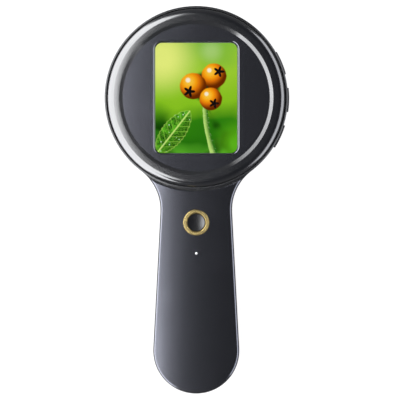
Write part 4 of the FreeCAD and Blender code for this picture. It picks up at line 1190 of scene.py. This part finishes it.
@dataclass
class Electronics(SubAssembly):
    """The boards with their chips, sockets and the small parts soldered between them."""

    solids = ("main_board", "main_chips", "display_socket", "camera_board", "board_link", "image_sensor",
              "sensor_shroud", "handle_board", "link_flex", "usb_port", "card_socket")
    board_under: float = 15.4
    board_top: float = 16.4
    leg_pitch: float = 0.8
    leg_half: float = 0.15
    leg_in: float = 0.1
    leg_out: float = 0.55
    leg_tall: float = 0.32
    chips: tuple[tuple[float, ...], ...] = (
        (-4.5, 4.5, 10.3, 19.3), (-19.0, -11.0, -6.0, 0.0), (11.5, 17.5, -3.0, 5.0), (-18.5, -12.5, 3.0, 7.0))
    handle_columns: tuple[float, ...] = (-6.8, -4.6, 4.4, 6.6)
    head_columns: tuple[float, ...] = (-8.6, -6.6, 6.4, 8.4)
    handle_rows: Pair = (-50.5, -3.1)
    upper_rows: Pair = (11.4, 1.9)
    lower_rows: Pair = (-11.4, -1.6)
    contacts_in_row: int = 12
    contact_pitch: float = 0.5
    contact_half: float = 0.13
    contact_ends: Pair = (-107.6, -103.6)
    tongue_faces: tuple[Pair, ...] = ((17.62, 17.68), (18.32, 18.38))

    def legs(self) -> None:
        """Solders a row of legs along the two long sides of each chip."""
        legs = Form("chip_legs")
        top, half = self.board_under, self.leg_half
        for x_low, x_high, y_low, y_high in self.chips:
            count = int((x_high - x_low - 1.0) / self.leg_pitch)
            start = (x_low + x_high - count * self.leg_pitch) / 2.0
            for number in range(count + 1):
                x = start + number * self.leg_pitch
                for y, out in ((y_low, -1.0), (y_high, 1.0)):
                    near, far = sorted((y - out * self.leg_in, y + out * self.leg_out))
                    legs.block((x - half, near, top - self.leg_tall), (x + half, far, top + 0.02), 0.06, SOLDER)
        legs.finish("housing", "tray_steel")

    def small_part(self, form: Form, x: float, y: float, base: float, rise: float, along_x: bool) -> None:
        """One soldered chip part: a ceramic body between two tinned ends.

        Args:
            form: the piece that it is added to.
            x: its centre.
            y: its centre.
            base: the height of the board's face.
            rise: how far it stands off the board; negative is down.
            along_x: whether its long side lies along X.
        """
        low, high = sorted((base - math.copysign(0.02, rise), base + rise))
        for start, end, half, finish in ((-0.42, 0.42, 0.34, CERAMIC), (-0.62, -0.36, 0.38, SOLDER),
                                         (0.36, 0.62, 0.38, SOLDER)):
            spans = ((start, end), (-half, half))
            (left, right), (near, far) = spans if along_x else spans[::-1]
            form.block((x + left, y + near, low), (x + right, y + far, high), 0.05, finish)

    def small_parts(self) -> None:
        """Soldered parts in rows on the handle board's top and the main board's underside."""
        parts = Form("small_parts")
        (handle, step), (upper, upper_step), (lower, lower_step) = self.handle_rows, self.upper_rows, self.lower_rows
        for row in range(7):
            for column, x in enumerate(self.handle_columns):
                self.small_part(parts, x, handle + row * step, self.board_top, 0.5, (row + column) % 3 == 0)
        for row in range(4):
            for x in self.head_columns:
                self.small_part(parts, x, upper + row * upper_step, self.board_under, -0.5, row % 2 == 0)
                self.small_part(parts, x * 1.35, lower + row * lower_step, self.board_under, -0.5, row % 2 == 1)
        parts.finish("housing", "chip_black")

    def contacts(self) -> None:
        """Gold contacts on both faces of the charging socket's tongue."""
        contacts = Form("socket_contacts")
        half, (end, root) = self.contact_half, self.contact_ends
        for number in range(self.contacts_in_row):
            x = (number - (self.contacts_in_row - 1) / 2.0) * self.contact_pitch
            for low, high in self.tongue_faces:
                contacts.block((x - half, end, low), (x + half, root, high), 0.02, CONTACT_GOLD)
        contacts.finish("housing", "port_steel")

    def make(self) -> None:
        """Makes the legs, the soldered parts and the socket's contacts."""
        self.legs()
        self.small_parts()
        self.contacts()


@dataclass
class Power(SubAssembly):
    """The battery in its pouch with a foam pad, its tape and its tabs."""

    solids = ("battery", "battery_pad")
    wide: float = 9.7
    low: float = 6.2
    high: float = 12.6
    over: float = 13.8
    end: float = -62.0
    tab_half: float = 1.6
    tab_heights: Pair = (9.0, 9.15)

    def make(self) -> None:
        """Wraps the head end of the cell in tape and brings out two tabs."""
        wrap = Form("cell_tape")
        wide, end, over = self.wide, self.end, self.over
        wrap.block((-wide, end - 6.0, over - 0.03), (wide, end - 1.0, over + 0.06), 0.03, AMBER_TAPE)
        wrap.block((-wide, end - 0.06, self.low), (wide, end + 0.08, self.high), 0.03, AMBER_TAPE)
        wrap.finish("housing", "flex_film")
        tabs = Form("cell_tabs")
        half, (low, high) = self.tab_half, self.tab_heights
        for x in (-5.5, 5.5):
            tabs.block((x - half, end - 0.2, low), (x + half, end + 3.0, high), 0.03, SOLDER)
        tabs.finish("housing", "tray_steel")


# Studio


@dataclass
class Softbox:
    """A flat light: where it stands, what it faces, how bright it looks and how wide it throws, in degrees."""

    name: str
    place: Point
    aim: Point
    size: Pair
    radiance: float
    tint: Colour = SOFT_WHITE
    spread: float = 180.0

    def build(self) -> None:
        """Makes the light."""
        data = bpy.data.lights.new(self.name, "AREA")
        data.shape = "RECTANGLE"
        data.size, data.size_y = self.size
        data.color, data.spread = self.tint, math.radians(self.spread)
        data.energy = self.radiance * math.pi * self.size[0] * self.size[1]
        made = stood(self.name, data)
        made.location = self.place
        made.rotation_euler = (Vector(self.aim) - Vector(self.place)).to_track_quat("-Z", "Y").to_euler()
        made.visible_camera = False
        LOG.info("light %s", self.name)


@dataclass
class Studio:
    """The floor, the lights and the camera, which looks straight down as in the photograph."""

    middle: Pair = (1.39, -37.87)
    sensor: float = 36.0
    height: float = 750.0
    face: float = 22.2
    width: float = 148.0
    floor_size: float = 3.0
    floor_tone: float = 0.06
    floor_light: float = 0.96
    zenith: float = 0.06
    horizon: float = 0.3
    lights: tuple[Softbox, ...] = (
        Softbox("left_upper_softbox", (-0.1370, 0.08, 0.5896), (0.1750, 0.08, 0.2653), (0.84, 0.1748), 10.5),
        Softbox("left_middle_softbox", (-0.3105, -0.1, 0.4227), (0.0015, -0.1, 0.0984), (1.48, 0.3065), 10.4),
        Softbox("left_lower_softbox", (-0.5004, 0.01, 0.2400), (-0.1885, 0.01, -0.0844), (1.58, 0.2208), 10.0),
        Softbox("left_floor_strip", (-0.62, 0.0, 0.118), (0.0, 0.0, 0.022), (2.4, 0.096), 4.2, spread=130.0),
        Softbox("right_strip", (0.5014, 0.03, 0.3053), (0.03, 0.03, 0.022), (1.08, 0.34), 5.1, (0.93, 0.94, 1.0)),
    )

    def camera(self) -> None:
        """Stands the camera over the object, with the photograph's frame."""
        data = bpy.data.cameras.new("photo_camera")
        data.sensor_width = self.sensor
        data.lens = self.sensor * (self.height - self.face) / self.width
        data.clip_start, data.clip_end = 0.01, 20.0
        made = stood("photo_camera", data)
        made.location = Vector((*self.middle, self.height)) * MM
        bpy.context.scene.camera = made

    def floor(self) -> None:
        """Lays a plain pale floor that only shows from above."""
        graph = Surface("studio_floor")
        tone = (self.floor_tone,) * 3
        colour = graph.mix(graph.noise(40.0, 2.0), shade(tone, 0.98), shade(tone, 1.02))
        graph.set(Base_Color=colour, Roughness=0.9, Specular_IOR_Level=0.1)
        graph.set(Emission_Color=WHITE, Emission_Strength=self.floor_light)
        behind = graph.node("ShaderNodeNewGeometry", {}, {}, "Backfacing")
        graph.blend(behind, graph.node("ShaderNodeBsdfTransparent", {}, {}))
        mesh = bmesh.new()
        bmesh.ops.create_grid(mesh, x_segments=2, y_segments=2, size=self.floor_size)
        data = bpy.data.meshes.new("studio_floor")
        mesh.to_mesh(data)
        mesh.free()
        data.materials.append(graph.material)
        stood("studio_floor", data)

    def world(self) -> None:
        """A dim room, lighter low down, which looks pale where the camera sees it past the floor."""
        world = bpy.data.worlds.new("studio_room")
        world.use_nodes = True
        graph = Graph(world.node_tree)
        up = graph.parts(graph.node("ShaderNodeTexCoord", {}, {}, "Generated"))[2]
        level = self.horizon - up.rise(0.35, 0.98) * (self.horizon - self.zenith)
        dim = graph.node("ShaderNodeBackground", {}, {"Color": (0.96, 0.97, 1.0), "Strength": level})
        pale = graph.node("ShaderNodeBackground", {}, {"Color": WHITE, "Strength": 0.9})
        seen = graph.node("ShaderNodeLightPath", {}, {}, "Is Camera Ray")
        both = graph.node("ShaderNodeMixShader", {}, {0: seen, 1: dim, 2: pale})
        graph.add("ShaderNodeOutputWorld", {}, {"Surface": both})
        bpy.context.scene.world = world

    def build(self) -> None:
        """Sets up camera, floor, room and lights."""
        self.camera()
        self.floor()
        self.world()
        for light in self.lights:
            light.build()
        bpy.context.scene.view_settings.view_transform = "Standard"


def main() -> None:
    """Builds the studio, then each sub-assembly in order."""
    logging.basicConfig(level=logging.INFO, format="%(name)s: %(message)s")
    Studio().build()
    for group in (Housing(), HeadFront(), Optics(), ShutterGroup(), SideKeys(), Electronics(), Power()):
        group.build()


if __name__ == "__main__":
    main()
